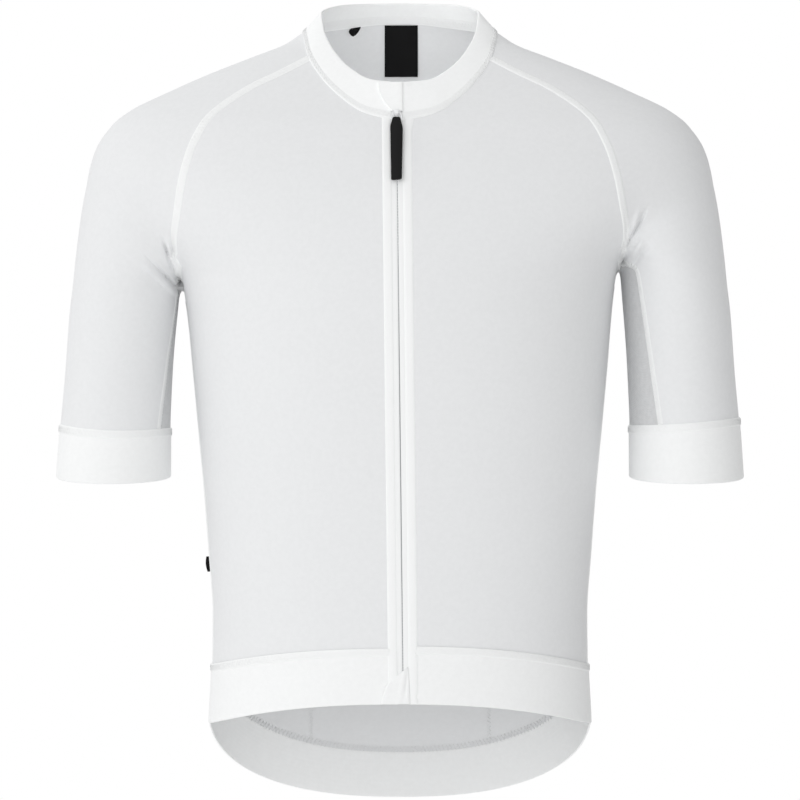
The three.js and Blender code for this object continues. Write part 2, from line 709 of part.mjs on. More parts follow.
function sleeveGrid(places, end, around) {
  const outward = point(1, 0, -0.6);
  const lines = places.map(({ p, turns }) => {
    const k = around.findIndex((place) => place.p.distanceTo(p) < 1e-6);
    const before = around[(k + around.length - 1) % around.length].p;
    const after = around[(k + 1) % around.length].p;
    const across = slopeAt(p).normalize().cross(after.clone().sub(before)).normalize();
    if (across.dot(outward) < 0) across.negate();
    return sleeveLine(p, across, turns, end);
  });
  const grid = makeGrid(CAP_ROWS + ARM_ROWS, lines.length - 1, (r, c) => lines[c][r]);
  return relaxed(grid).map((row) => row.map(onForm));
}

// Evens out a grid between its edges, so that no row or column folds over the next.
function relaxed(grid) {
  for (let pass = 0; pass < RELAX_PASSES; pass += 1) {
    const before = grid.map((row) => row.map((p) => p.clone()));
    for (let r = 1; r < grid.length - 1; r += 1) {
      for (let c = 1; c < grid[0].length - 1; c += 1) {
        const middle = point(0, 0, 0);
        for (const near of [before[r - 1][c], before[r + 1][c], before[r][c - 1], before[r][c + 1]]) {
          middle.addScaledVector(near, 1 / 4);
        }
        grid[r][c] = settle(middle);
      }
    }
  }
  return grid;
}

function cuffGrid(end) {
  return makeGrid(CUFF_ROWS, CUFF_COLUMNS - 1, (r, c) => {
    const turn = (360 * c) / CUFF_COLUMNS;
    const dip = turn < 180 ? CUFF_DIP : CUFF_DIP / 3;
    const bottom = CUFF_BOTTOM - dip * Math.abs(Math.sin(radians(turn))) ** CUFF_DIP_POWER;
    return settled(sleeveRing(turn, mix(cuffSeam(end, turn) - SEAM_GAP, bottom, r / CUFF_ROWS)));
  });
}

// A band's outer height, rolled in at its seam and at its free edge.
const bandOuter = (rows) => (r) => {
  if (r === 0) return BAND_PROUD - BAND_TOP_ROLL;
  return BAND_PROUD - (r === rows ? BAND_FOOT_ROLL : 0);
};

function hemFrontGrid(side) {
  const top = hemSeamRow(side);
  const turns = hemTurns(top[0]);
  turns[0] = 0;
  return Array.from({ length: HEM_ROWS + 1 }, (_, r) => top.map((place, c) => {
    const z = mix(place.p.z, hemHeight(turns[c]), r / HEM_ROWS);
    if (c === 0) return facing(zipX(z) + side * OPENING_HALF, z, -1);
    return torsoPoint(turns[c], z, side);
  }));
}

function hemBackGrid() {
  return Array.from({ length: HEM_ROWS + 1 }, (_, r) => backTurns.map((u) => {
    const { turn, side } = roundBack(u, SIDE_SEAM_TURN);
    return torsoPoint(turn, mix(hemSeamHeight(turn), hemHeight(turn), r / HEM_ROWS), side);
  }));
}

// The collar stands on the neck seam and leans to its rim.
function collarPlace(turn, rise, side) {
  const at = (angle) => {
    const low = neckPoint(angle, side);
    const high = point(rimAt.x(angle) * side, rimAt.y(angle), rimAt.z(angle));
    return low.lerp(high, rise);
  };
  const p = at(turn);
  const along = at(Math.min(180, turn + 1)).sub(at(Math.max(0, turn - 1)));
  const low = neckPoint(turn, side);
  const high = point(rimAt.x(turn) * side, rimAt.y(turn), rimAt.z(turn));
  const n = along.cross(high.sub(low)).normalize();
  if (n.dot(point(p.x, p.y, 0)) < 0) n.negate();
  return { p, n };
}

function collarGrid() {
  return makeGrid(COLLAR_ROWS, COLLAR_COLUMNS, (r, c) => {
    const rise = mix(COLLAR_SEAM_RISE, 1, r / COLLAR_ROWS);
    const z = mix(neckAt.z(0), rimAt.z(0), rise);
    const width = (turn) => mix(neckAt.x(turn), rimAt.x(turn), rise);
    const right = turnOf(width, OPENING_HALF - zipX(z));
    const left = turnOf(width, OPENING_HALF + zipX(z));
    const u = mix(right, 360 - left, c / COLLAR_COLUMNS);
    return u <= 180 ? collarPlace(u, rise, -1) : collarPlace(360 - u, rise, 1);
  });
}

// A place on the centre front, on the collar above the neck seam and on the form below it.
function centreFront(x, z) {
  if (z < neckAt.z(0)) return facing(x, z, -1);
  let turn = 0;
  let rise = 0;
  for (let pass = 0; pass < 6; pass += 1) {
    const low = neckAt.z(turn);
    rise = (z - low) / (rimAt.z(turn) - low);
    turn = turnOf((angle) => mix(neckAt.x(angle), rimAt.x(angle), rise), Math.abs(x));
  }
  return collarPlace(turn, Math.min(1, Math.max(0, rise)), x < 0 ? -1 : 1);
}

// A band along the zip line between two distances from it.
function zipBand(from, to, top, bottom, rows, columns = 1) {
  return makeGrid(rows, columns, (r, c) => {
    const z = mix(top, bottom, r / rows);
    const start = typeof from === 'function' ? from(z) : from;
    return centreFront(zipX(z) + mix(start, to, c / columns), z);
  });
}

// The tapes part where the slider's post stands between them.
const tapeEdge = (z) => (z > PIVOT_Z - TAPE_PARTED_BELOW ? TAPE_PARTED : SEAM_GAP);

const jersey = new THREE.Group();

function add(name, geometry, material) {
  const mesh = new THREE.Mesh(geometry, material);
  mesh.name = name;
  jersey.add(mesh);
  return mesh;
}

// Torso panels
for (const [name, side] of [['front_right', -1], ['front_left', 1]]) {
  const grid = drawIn(frontGrid(side), ['top', 'bottom', 'right'], RAGLAN_STEPS);
  add(name, wall(grid, 0, -CLOTH), cloth(colours.panel));
}
const backPanel = drawIn(backGrid(), ['top', 'bottom', 'left', 'right'], RAGLAN_STEPS);
add('back', wall(backPanel, 0, -CLOTH), cloth(colours.panel));

// Sleeves, underarm panels and cuffs
for (const end of SLEEVE_ENDS) {
  const loop = armhole(end);
  const around = [...loop.upper, ...loop.lower.slice(1, -1)];
  const shape = (grid) => (end.side < 0 ? mirrored(grid) : grid);
  for (const [part, places] of [['sleeve', loop.upper], ['underarm', loop.lower]]) {
    const grid = shape(drawIn(sleeveGrid(places, end, around), ['top', 'left', 'right', 'bottom']));
    add(`${part}_${end.name}`, wall(grid, 0, -CLOTH), cloth(colours.panel));
  }
  const cuff = wall(shape(cuffGrid(end)), bandOuter(CUFF_ROWS), BAND_PROUD - RIB, true);
  add(`cuff_${end.name}`, cuff, cloth(colours.trim));
}

// Hem band
for (const [name, side] of [['right', -1], ['left', 1]]) {
  const grid = drawIn(hemFrontGrid(side), ['top', 'right']);
  add(`hem_front_${name}`, wall(grid, bandOuter(HEM_ROWS), BAND_PROUD - RIB), cloth(colours.trim));
}
const hemBack = drawIn(hemBackGrid(), ['top', 'left', 'right']);
add('hem_back', wall(hemBack, bandOuter(HEM_ROWS), BAND_PROUD - RIB), cloth(colours.trim));

add('collar', wall(collarGrid(), 0, -RIB), cloth(colours.trim));

// Zip: tapes under the panel edges, the coil behind them and the strips laid along the panels
const tapeOuter = -RIB - LAYER_GAP;
const stripBottom = hemSeamHeight(0) + SEAM_GAP;
for (const [name, side] of [['right', -1], ['left', 1]]) {
  const tape = zipBand((z) => side * tapeEdge(z), side * TAPE_HALF, ZIP_TOP, ZIP_BOTTOM, ZIP_ROWS);
  const strip = zipBand(side * STRIP_INNER, side * STRIP_OUTER, ZIP_TOP, stripBottom, ZIP_ROWS);
  add(`zip_tape_${name}`, wall(tape, tapeOuter, tapeOuter - TAPE_THICK), cloth(colours.trim));
  add(`zip_strip_${name}`, wall(strip, LAYER_GAP + STRIP_THICK, LAYER_GAP), cloth(colours.trim));
}
const coilOuter = tapeOuter - TAPE_THICK - LAYER_GAP - COIL_EASE;
const coil = zipBand(-COIL_HALF, COIL_HALF, PIVOT_Z - COIL_TOP_DROP, ZIP_BOTTOM, ZIP_ROWS);
add('zip_coil', wall(coil, coilOuter, coilOuter - COIL_THICK), cloth(colours.trim));

// The garage laps over the top of the zip from the wearer's right
const garage = makeGrid(GARAGE_ROWS, GARAGE_COLUMNS, (r, c) => {
  const t = r / GARAGE_ROWS;
  const z = mix(GARAGE.top, GARAGE.bottom, t);
  const left = mix(GARAGE.topLeft, GARAGE.bottomLeft, t ** GARAGE.sweep);
  return centreFront(zipX(z) + mix(left, GARAGE.right, c / GARAGE_COLUMNS), z);
});
const garageInner = LAYER_GAP + STRIP_THICK + LAYER_GAP;
add('zip_garage', wall(garage, garageInner + CLOTH, garageInner), cloth(colours.trim));

// The hem's folded end over the foot of the zip
const tuck = makeGrid(TUCK_ROWS, TUCK_COLUMNS, (r, c) => {
  const z = mix(TUCK.top, TUCK.bottom, r / TUCK_ROWS);
  const corner = r === 0 || r === TUCK_ROWS ? TUCK.corner : 0;
  return facing(mix(TUCK.left + corner, TUCK.right - corner, c / TUCK_COLUMNS), z, -1);
});
add('hem_tuck', wall(tuck, BAND_PROUD + LAYER_GAP + CLOTH, BAND_PROUD + LAYER_GAP), cloth(colours.trim));

// Rear pockets: one cloth laid on the back, open along its top
const pocket = Array.from({ length: POCKET_ROWS + 1 }, (_, r) => backTurns.map((u) => {
  const { turn, side } = roundBack(u, POCKET_TURN);
  return torsoPoint(turn, mix(POCKET_TOP, hemSeamHeight(turn) + POCKET_FOOT, r / POCKET_ROWS), side);
}));
const pocketOuter = (r) => POCKET_EASE + CLOTH + (r === 0 ? MOUTH_OUT : 0);
const pocketInner = (r) => POCKET_EASE + (r === 0 ? MOUTH_IN : 0);
add('back_pockets', wall(pocket, pocketOuter, pocketInner), cloth(colours.panel));

// Labels and tags
function patch({ left, right, top, bottom }, columns, rows) {
  return makeGrid(rows, columns, (r, c) =>
    facing(mix(left, right, c / columns), mix(top, bottom, r / rows), 1));
}
const labelOuter = -CLOTH - LABEL_EASE;
const tabOuter = labelOuter - TAB_EASE;
add('neck_label', wall(patch(LABEL, 4, 5), labelOuter, labelOuter - LABEL_THICK), cloth(colours.black));
add('hanger_tab', wall(patch(TAB, 2, 2), tabOuter, tabOuter - LABEL_THICK), cloth(colours.black));

const tag = Array.from({ length: TAG_ROWS + 1 }, (_, r) => {
  const z = mix(SIDE_TAG.top, SIDE_TAG.bottom, r / TAG_ROWS);
  const { p, n } = torsoPoint(SIDE_TAG.turn, z, -1);
  const reach = SIDE_TAG.reach * (r === 0 || r === TAG_ROWS ? SIDE_TAG.taper : 1);
  const across = point(0, 1, 0).addScaledVector(n, -n.y).normalize();
  return [LAYER_GAP, reach].map((away) => ({ p: p.clone().addScaledVector(n, away), n: across }));
});
add('side_tag', wall(tag, SIDE_TAG.thick / 2, -SIDE_TAG.thick / 2), cloth(colours.black));

// Solids joined and cut
function toSolid(geometry) {
  const bare = geometry.clone();
  bare.deleteAttribute('normal');
  bare.deleteAttribute('uv');
  const merged = mergeVertices(bare, 1e-4);
  return new wasm.Manifold(new wasm.Mesh({
    numProp: 3,
    vertProperties: merged.attributes.position.array,
    triVerts: new Uint32Array(merged.index.array),
  }));
}

function fromSolid(solid) {
  const { vertProperties, triVerts } = solid.getMesh();
  const geometry = new THREE.BufferGeometry();
  geometry.setAttribute('position', new THREE.Float32BufferAttribute(vertProperties, 3));
  geometry.setIndex(Array.from(triVerts));
  geometry.computeVertexNormals();
  return geometry;
}

// A plate from an outline in X and Z, from one height to another out of the zip (towards -Y).
function plate(outline, low, high) {
  const shape = new THREE.Shape(outline.map(([x, z]) => new THREE.Vector2(x, z)));
  const geometry = new THREE.ExtrudeGeometry(shape, { depth: high - low, bevelEnabled: false });
  return geometry.rotateX(Math.PI / 2).translate(0, -low, 0);
}

const box = (wide, low, high, bottom, top) =>
  new THREE.BoxGeometry(wide, high - low, top - bottom).translate(0, -(low + high) / 2, (top + bottom) / 2);

// Heights above the zip's own line, in the slider's frame: X across, Z up the zip, pivot at Z 0
const plateOutline = [
  [-PLATE.half, PLATE.side], [-PLATE.shoulder, PLATE.top], [PLATE.shoulder, PLATE.top],
  [PLATE.half, PLATE.side], [PLATE.foot, PLATE.bottom], [-PLATE.foot, PLATE.bottom],
];
const backPlate = coilOuter - COIL_THICK - LAYER_GAP;
const bridgeLow = PIVOT_RISE + WIRE + LAYER_GAP;
const bridgeHigh = bridgeLow + BRIDGE.thick;
const slotEnd = BRIDGE.reach - BRIDGE.foot;
const slider = [
  plate(plateOutline, backPlate - SLIDER_THICK, backPlate),
  box(2 * POST.half, backPlate - SLIDER_SINK, tapeOuter + POST.rise, POST.bottom, POST.top),
  box(2 * BRIDGE.half, SLIDER_FACE - SLIDER_SINK, bridgeHigh, slotEnd, BRIDGE.reach),
  box(2 * BRIDGE.half, SLIDER_FACE - SLIDER_SINK, bridgeHigh, -BRIDGE.reach, -slotEnd),
  box(2 * BRIDGE.half, bridgeLow, bridgeHigh, -BRIDGE.reach, BRIDGE.reach),
].reduce(
  (solid, piece) => solid.add(toSolid(piece)),
  toSolid(plate(plateOutline, tapeOuter + LAYER_GAP, SLIDER_FACE)),
);

// The wire ring as a closed tube along a rounded four-sided path
function ringTube(corners, radius, steps, sides) {
  const path = new THREE.CatmullRomCurve3(corners, true, 'centripetal');
  const grid = Array.from({ length: steps }, (_, k) => {
    const centre = path.getPoint(k / steps);
    const along = path.getTangent(k / steps);
    const out = point(0, 1, 0);
    const across = along.clone().cross(out).normalize();
    return Array.from({ length: sides }, (__, c) => {
      const angle = (2 * Math.PI * c) / sides;
      return centre.clone().addScaledVector(across, radius * Math.cos(angle))
        .addScaledVector(out, radius * Math.sin(angle));
    });
  });
  const positions = grid.flat().flatMap((p) => p.toArray());
  const index = [];
  for (let k = 0; k < steps; k += 1) {
    for (let c = 0; c < sides; c += 1) {
      const at = (i, j) => (i % steps) * sides + (j % sides);
      index.push(at(k, c), at(k + 1, c), at(k + 1, c + 1), at(k, c), at(k + 1, c + 1), at(k, c + 1));
    }
  }
  return facingOut(positions, index);
}

const ringCorners = [
  [-RING.topHalf, 0], [RING.topHalf, 0], [RING.shoulder, -RING.shoulderDrop], [RING.half, -RING.cornerDrop],
  [RING.cornerHalf, -RING.drop], [0, -RING.drop], [-RING.cornerHalf, -RING.drop],
  [-RING.half, -RING.cornerDrop], [-RING.shoulder, -RING.shoulderDrop],
].map(([x, z]) => point(x, 0, z));

// The moulded tab, with a bored boss round the ring's lower bar
const pullOutline = [
  [-PULL.topHalf, -RING.drop],
  [-PULL.wideHalf, -PULL.wideRight],
  [-PULL.endHalf, -PULL.length + PULL.corner],
  [-PULL.endHalf + PULL.corner, -PULL.length],
  [PULL.endHalf - PULL.corner, -PULL.length + PULL.endRise],
  [PULL.endHalf, -PULL.length + PULL.cornerRise],
  [PULL.wideHalf, -PULL.wideLeft],
  [PULL.topHalf, -RING.drop],
];
const alongBar = (radius, length) => new THREE.CylinderGeometry(radius, radius, length, BORE_SIDES)
  .rotateZ(Math.PI / 2).translate(0, 0, -RING.drop);
const pull = toSolid(plate(pullOutline, -PULL.thick / 2, PULL.thick / 2))
  .add(toSolid(alongBar(WIRE + LAYER_GAP + BOSS_WALL, 2 * PULL.topHalf)))
  .subtract(toSolid(alongBar(WIRE + LAYER_GAP, 4 * PULL.topHalf)));

const seat = centreFront(zipX(PIVOT_Z), PIVOT_Z);
const slideGroup = new THREE.Group();
slideGroup.position.copy(seat.p);
slideGroup.rotation.x = radians(-SLIDER_TILT);
const pullGroup = new THREE.Group();
const pivotOut = point(0, -Math.cos(radians(SLIDER_TILT)), Math.sin(radians(SLIDER_TILT)));
pullGroup.position.copy(seat.p).addScaledVector(pivotOut, PIVOT_RISE);
pullGroup.rotation.x = radians(-PULL_TILT);
jersey.add(slideGroup, pullGroup);

function addTo(group, name, geometry, material) {
  const mesh = new THREE.Mesh(geometry, material);
  mesh.name = name;
  group.add(mesh);
}

addTo(slideGroup, 'zip_slider', fromSolid(slider), metal());
addTo(pullGroup, 'pull_ring', ringTube(ringCorners, WIRE, RING_STEPS, RING_SIDES), metal());
addTo(pullGroup, 'pull_tab', fromSolid(pull), moulded());

export default jersey;
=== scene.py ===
import math

import bpy
import bmesh
import numpy as np
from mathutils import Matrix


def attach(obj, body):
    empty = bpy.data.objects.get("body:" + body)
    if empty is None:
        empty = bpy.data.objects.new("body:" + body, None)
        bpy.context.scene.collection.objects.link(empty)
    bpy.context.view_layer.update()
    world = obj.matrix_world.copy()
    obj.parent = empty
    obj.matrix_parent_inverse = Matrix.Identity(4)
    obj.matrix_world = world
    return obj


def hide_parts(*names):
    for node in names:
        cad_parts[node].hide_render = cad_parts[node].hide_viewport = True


# A white short-sleeved cycling jersey in its worn shape. Lengths are millimetres until a mesh is
# made; the front faces -Y and the wearer's left arm is at +X.
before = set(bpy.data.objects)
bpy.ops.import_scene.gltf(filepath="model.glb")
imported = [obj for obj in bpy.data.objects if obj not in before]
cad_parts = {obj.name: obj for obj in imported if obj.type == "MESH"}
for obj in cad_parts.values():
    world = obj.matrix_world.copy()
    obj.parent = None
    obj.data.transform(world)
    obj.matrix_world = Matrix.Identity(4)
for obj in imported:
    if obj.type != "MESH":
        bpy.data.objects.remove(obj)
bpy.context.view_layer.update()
mm = 0.001
print("frame loaded")


# The worn form: the same sections as the solids, so every cloth lies where its solid lies.
torso = {
    "z": [-680, -590, -533, -494, -443, -392, -340, -290, -240, -212, -200, -180, -160, -140,
          -120, -100, -82, -68, -54, -37, -22, -12, 0, 9, 25],
    "half": [163, 162, 159.4, 159, 162.4, 166.2, 171, 175.5, 180.2, 186, 193, 210, 228, 242,
             251, 253.5, 245.5, 228.5, 200, 162, 124, 98.6, 80, 62, 45],
    "front": [108, 106.5, 104, 103.5, 105, 108.5, 113, 117, 118.5, 117.5, 116.5, 114, 110, 104.5,
              97, 87, 78, 68, 58.5, 46, 35, 27, 18, 12, 6],
    "back": [114, 107, 99, 93, 89, 90.5, 96, 103, 108.5, 110.5, 111, 111.5, 111, 109.5,
             107, 104, 100, 96.5, 92.5, 87, 80.5, 76, 71, 66, 57],
    "power": 2.35,
}
arm = {
    "z": [-400, -342, -290, -240, -212, -200, -185, -160, -130, -112, -90, -60],
    "inner": [194.7, 194.7, 193, 189, 185.5, 172, 162, 150, 140, 132, 118, 90],
    "outer": [291.8, 288.2, 283.9, 280.5, 277.3, 276.2, 274.6, 271.5, 266, 259.5, 240, 185],
    "depth": [49.5, 50, 51.5, 54, 56, 57, 58.5, 60, 59.5, 57, 50, 36],
    "middle": [-11, -8, -4, -1, 0, 0, 1, 2, 3, 4, 4, 4],
    "top": -55,
}
meltRows = {"z": [-300, -240, -212, -195, -175, -150, -110, -80], "reach": [3, 3, 6, 8, 12, 19, 24, 22]}
neckRows = {
    "turn": [0, 20, 40, 55, 70, 90, 112, 135, 158, 180],
    "x": [0, 28, 52.7, 67.2, 77.5, 82, 76, 58, 31, 0],
    "y": [-78, -74, -60, -46, -28, 0, 27, 48, 62, 66],
    "z": [-83, -75.5, -59, -43.5, -26, -1, 6, 10, 12.5, 13.5],
}
rimRows = {
    "turn": [0, 20, 40, 60, 75, 90, 112, 135, 158, 180],
    "x": [0, 22.8, 42.8, 57.7, 64.3, 66.6, 61.8, 47.1, 25, 0],
    "y": [-61, -57.3, -46.7, -30.5, -15.8, 0, 19.5, 36.8, 48.2, 52],
    "z": [-48.5, -46, -34.4, -15.8, -0.2, 15.6, 21.5, 26.3, 28.4, 29],
}
seams = {
    "raglanTurn": 68, "backTurn": 135, "sideTurn": 82,
    "front": [(101, -42, -38), (127, -48, -52), (156, -59, -74.5), (172, -70, -100), (180, -76, -127),
              (185, -73, -158), (189, -54, -188), (187, -36, -203), (186, -22, -211)],
    "back": [(100, 60, -25), (127, 76, -52), (156, 82, -78), (172, 84, -105), (181, 82, -135),
             (187, 72, -165), (190, 50, -191), (187, 32, -204), (186, 14, -212)],
    "armpit": (186, -6, -214), "underarmReach": 13,
}

# Creases as soft ridges and troughs: side and face they are on, two ends across and up, the width
# and the rise (below 0 for a trough)
creases = [
    # side, face, x1, z1, x2, z2, width, rise
    (-1, -1, 213, -201, 189, -224, 2.2, 2.4),
    (-1, -1, 210, -196, 187, -220.5, 1.4, -3.0),
    (-1, -1, 194.5, -182, 187.5, -207, 1.9, 2.4),
    (-1, -1, 199, -178, 189, -210, 1.3, -2.6),
    (-1, -1, 191.5, -176, 188.5, -196, 1.2, -1.6),
    (-1, -1, 184.5, -171, 184.5, -196, 2.4, 1.0),
    (-1, -1, 181, -190, 182.5, -208, 1.4, -1.6),
    (-1, -1, 187, -209, 184.5, -220, 2.0, -3.0),
    (-1, -1, 228, -214, 206, -212, 5, 0.9),
    (1, -1, 199, -162, 191.5, -193, 2.4, 3.4),
    (1, -1, 203.5, -163, 189.5, -197, 1.3, -4.2),
    (1, -1, 203, -190, 193, -210, 2.4, 3.4),
    (1, -1, 207, -194, 197, -213, 2.0, -2.6),
    (1, -1, 192, -201, 188, -212, 1.6, -2.6),
    (1, -1, 186, -196, 184.5, -208, 1.4, -1.6),
    (1, -1, 222, -214, 205, -214, 5, 0.9),
    (-1, -1, 174, -200, 146, -240, 10, 0.6),
    (1, -1, 172, -196, 142, -232, 11, 0.7),
    (-1, 1, 210, -168, 193, -203, 6, 2.2),
    (1, 1, 212, -162, 194, -198, 6, 2.2),
    (-1, 1, 205, -182, 191, -206, 2.2, -1.6),
    (1, 1, 206, -178, 192, -203, 2.4, -1.7),
    (-1, 1, 178, -190, 140, -232, 11, 1.2),
    (1, 1, 176, -194, 138, -240, 12, 1.1),
    (-1, 1, 196, -225, 214, -262, 7, 0.9),
    (1, 1, 198, -232, 220, -276, 8, 0.8),
    (-1, 1, 70, -330, 20, -345, 14, -0.9),
    (1, 1, 84, -352, 26, -362, 15, -1.0),
    (-1, 1, 60, -392, 14, -398, 12, -0.7),
]
# The wearer's left armpit sits higher: how far, and how widely the cloth follows it.
armpitLift = {"rise": 14, "reach": 50}


def lifted(p):
    p = np.array(p, float)
    x, z = p[..., 0] - seams["armpit"][0], p[..., 2] - seams["armpit"][2]
    near = np.exp(-(x * x + z * z) / armpitLift["reach"] ** 2)
    p[..., 2] += np.where(p[..., 0] > 0, armpitLift["rise"] * near, 0)
    return p


def smoothCurve(rows, key, column):
    at = np.array(rows[key], float)
    value = np.array(rows[column], float)
    slope = np.diff(value) / np.diff(at)
    tangent = np.concatenate([slope[:1], np.zeros(len(slope) - 1), slope[-1:]])
    product = slope[:-1] * slope[1:]
    total = np.where(product > 0, slope[:-1] + slope[1:], 1)
    tangent[1:-1] = np.where(product > 0, 2 * product / total, 0)

    def read(x):
        x = np.asarray(x, float)
        i = np.clip(np.searchsorted(at, x) - 1, 0, len(at) - 2)
        span = at[i + 1] - at[i]
        t = np.clip((x - at[i]) / span, 0, 1)
        rise = t * t * (3 - 2 * t)
        y = value[i] + (value[i + 1] - value[i]) * rise
        y = y + t * (1 - t) ** 2 * span * tangent[i] + t * t * (t - 1) * span * tangent[i + 1]
        y = y + np.minimum(x - at[0], 0) * tangent[0]
        return y + np.maximum(x - at[-1], 0) * tangent[-1]

    return read


torsoHalf, torsoFront, torsoBack = (smoothCurve(torso, "z", c) for c in ("half", "front", "back"))
armInner, armOuter, armDepth, armMiddle = (
    smoothCurve(arm, "z", c) for c in ("inner", "outer", "depth", "middle"))
melt = smoothCurve(meltRows, "z", "reach")
neckX, neckY, neckZ = (smoothCurve(neckRows, "turn", c) for c in "xyz")
rimX, rimY, rimZ = (smoothCurve(rimRows, "turn", c) for c in "xyz")


def creaseRise(x, y, z):
    rise = np.zeros_like(x)
    for side, face, x1, z1, x2, z2, width, height in creases:
        here = (x * side > 0) & (y * face > 0)
        alongX, alongZ = x2 - x1, z2 - z1
        dx, dz = np.abs(x) - x1, z - z1
        t = (dx * alongX + dz * alongZ) / (alongX**2 + alongZ**2)
        away = np.abs(dx * alongZ - dz * alongX) / math.hypot(alongX, alongZ)
        fade = np.sin(np.pi * np.clip((t + 0.3) / 1.6, 0, 1)) ** 2
        rise += np.where(here, height * fade * np.exp(-((away / width) ** 2)), 0)
    return rise


def bodyForm(p):
    x, y, z = p[..., 0], p[..., 1], p[..., 2]
    side = np.abs(x)
    power = torso["power"]
    depth = np.where(y < 0, torsoFront(z), torsoBack(z))
    ring = ((side / torsoHalf(z)) ** power + (np.abs(y) / depth) ** power) ** (1 / power)
    body = np.hypot(side, y) * (1 - 1 / np.maximum(ring, 1e-6))
    centre = (armInner(z) + armOuter(z)) / 2
    width = (armOuter(z) - armInner(z)) / 2
    back = y - armMiddle(z)
    ring = np.hypot((side - centre) / width, back / armDepth(z))
    sleeve = np.hypot(side - centre, back) * (1 - 1 / np.maximum(ring, 1e-6))
    reach = melt(z)
    near = np.maximum(reach - np.abs(body - sleeve), 0) / reach
    both = np.minimum(body, sleeve) - near * near * reach / 4
    return np.where(z > arm["top"], body, both) - creaseRise(x, y, z)


def slopeAt(p):
    step = 0.05
    parts = []
    for axis in range(3):
        move = np.zeros(3)
        move[axis] = step
        parts.append((bodyForm(p + move) - bodyForm(p - move)) / (2 * step))
    return np.stack(parts, -1)


def unit(v):
    return v / np.maximum(np.linalg.norm(v, axis=-1, keepdims=True), 1e-9)


def settle(p, turns=10):
    p = np.array(p, float)
    for _ in range(turns):
        slope = slopeAt(p)
        move = slope * (-bodyForm(p) / np.sum(slope * slope, -1))[..., None]
        size = np.linalg.norm(move, axis=-1, keepdims=True)
        p = p + move * np.minimum(1, 15 / np.maximum(size, 1e-9))
    return p


def onForm(p):
    p = settle(p)
    return p, unit(slopeAt(p))


def facing(x, z, face):
    x, z = np.broadcast_arrays(np.asarray(x, float), np.asarray(z, float))
    inside, outside = np.zeros(x.shape), np.full(x.shape, 220.0)
    for _ in range(32):
        middle = (inside + outside) / 2
        out = bodyForm(np.stack([x, middle * face, z], -1)) > 0
        outside = np.where(out, middle, outside)
        inside = np.where(out, inside, middle)
    p = np.stack([x, inside * face, z], -1)
    return p, unit(slopeAt(p))


def torsoPlace(turn, z, side):
    angle = np.radians(turn)
    power = 2 / torso["power"]
    depth = np.abs(np.cos(angle)) ** power
    y = np.where(np.cos(angle) > 0, -depth * torsoFront(z), depth * torsoBack(z))
    return np.stack([np.abs(np.sin(angle)) ** power * torsoHalf(z) * side, y, z + 0 * y], -1)


# Hem and band heights, and the zip's line across the front.
hem = {"side": -587.4, "frontRise": 23.4, "backDrop": 75.5, "ease": 0.12,
       "bandFront": 45, "bandSide": 48.5, "bandBack": 40, "proud": 0.7, "rib": 1.6,
       "edge": 1.6, "roll": 0.7, "rollRows": 4}
zipLine = {"topX": -2.8, "bottomX": 3, "from": -83, "to": -590, "top": -49.5, "bottom": -560, "opening": 4.9}


def hemHeight(turn):
    depth = np.abs(np.cos(np.radians(turn))) ** (2 / torso["power"])
    front = hem["side"] + hem["frontRise"] * depth**2
    back = hem["side"] - hem["backDrop"] * (1 + hem["ease"]) * depth**2 / (depth + hem["ease"])
    return np.where(np.asarray(turn) <= 90, front, back)


def hemSeam(turn):
    depth = np.cos(np.radians(turn)) ** 2
    band = np.where(np.asarray(turn) <= 90, hem["bandFront"], hem["bandBack"])
    return hemHeight(turn) + hem["bandSide"] + (band - hem["bandSide"]) * depth


def zipX(z):
    t = (z - zipLine["from"]) / (zipLine["to"] - zipLine["from"])
    return zipLine["topX"] + (zipLine["bottomX"] - zipLine["topX"]) * t


def neckPlace(turn, side=1):
    p = np.stack([neckX(turn) * side, neckY(turn), neckZ(turn)], -1)
    return settle(p, 14)


def turnOf(read, across):
    low, high = 0.0, 60.0
    for _ in range(40):
        middle = (low + high) / 2
        low, high = (middle, high) if read(middle) < across else (low, middle)
    return low


def evenly(p, steps, share=None):
    run = np.concatenate([[0], np.cumsum(np.linalg.norm(np.diff(p, axis=0), axis=1))])
    want = run[-1] * (np.linspace(0, 1, steps + 1) if share is None else share)
    return np.stack([np.interp(want, run, p[:, k]) for k in range(3)], -1)


def throughPoints(corners, each=14):
    corners = np.array(corners, float)
    ends = np.vstack([2 * corners[0] - corners[1], corners, 2 * corners[-1] - corners[-2]])
    out = []
    for a, b, c, d in zip(ends[:-3], ends[1:-2], ends[2:-1], ends[3:]):
        for t in np.arange(each) / each:
            out.append(0.5 * (2 * b + (c - a) * t + (2 * a - 5 * b + 4 * c - d) * t * t
                              + (3 * b - a - 3 * c + d) * t**3))
    return np.array(out + [corners[-1]])


def raglanSeam(rows, turn, steps):
    below = settle(np.array(rows + [seams["armpit"]], float))
    corners = np.vstack([neckPlace(np.array([float(turn)])), below])
    path = evenly(settle(throughPoints(corners)), 400)
    length = np.sum(np.linalg.norm(np.diff(path, axis=0), axis=1))
    split = round(400 * (1 - seams["underarmReach"] / length))
    # places crowd towards the armpit, where the cloth creases
    left = np.linspace(1, 0, steps - density["under"] + 1)
    upper = evenly(path[: split + 1], 0, 1 - left * (0.32 + 0.68 * left))
    return settle(np.vstack([upper, evenly(path[split:], density["under"])[1:]]))


density = {"raglan": 92, "side": 76, "front": 60, "back": 104, "neck": 30, "cap": 72, "arm": 40, "under": 12}
raglanFront = raglanSeam(seams["front"], seams["raglanTurn"], density["raglan"])
raglanBack = raglanSeam(seams["back"], seams["backTurn"], density["raglan"])
armpit = raglanFront[-1]


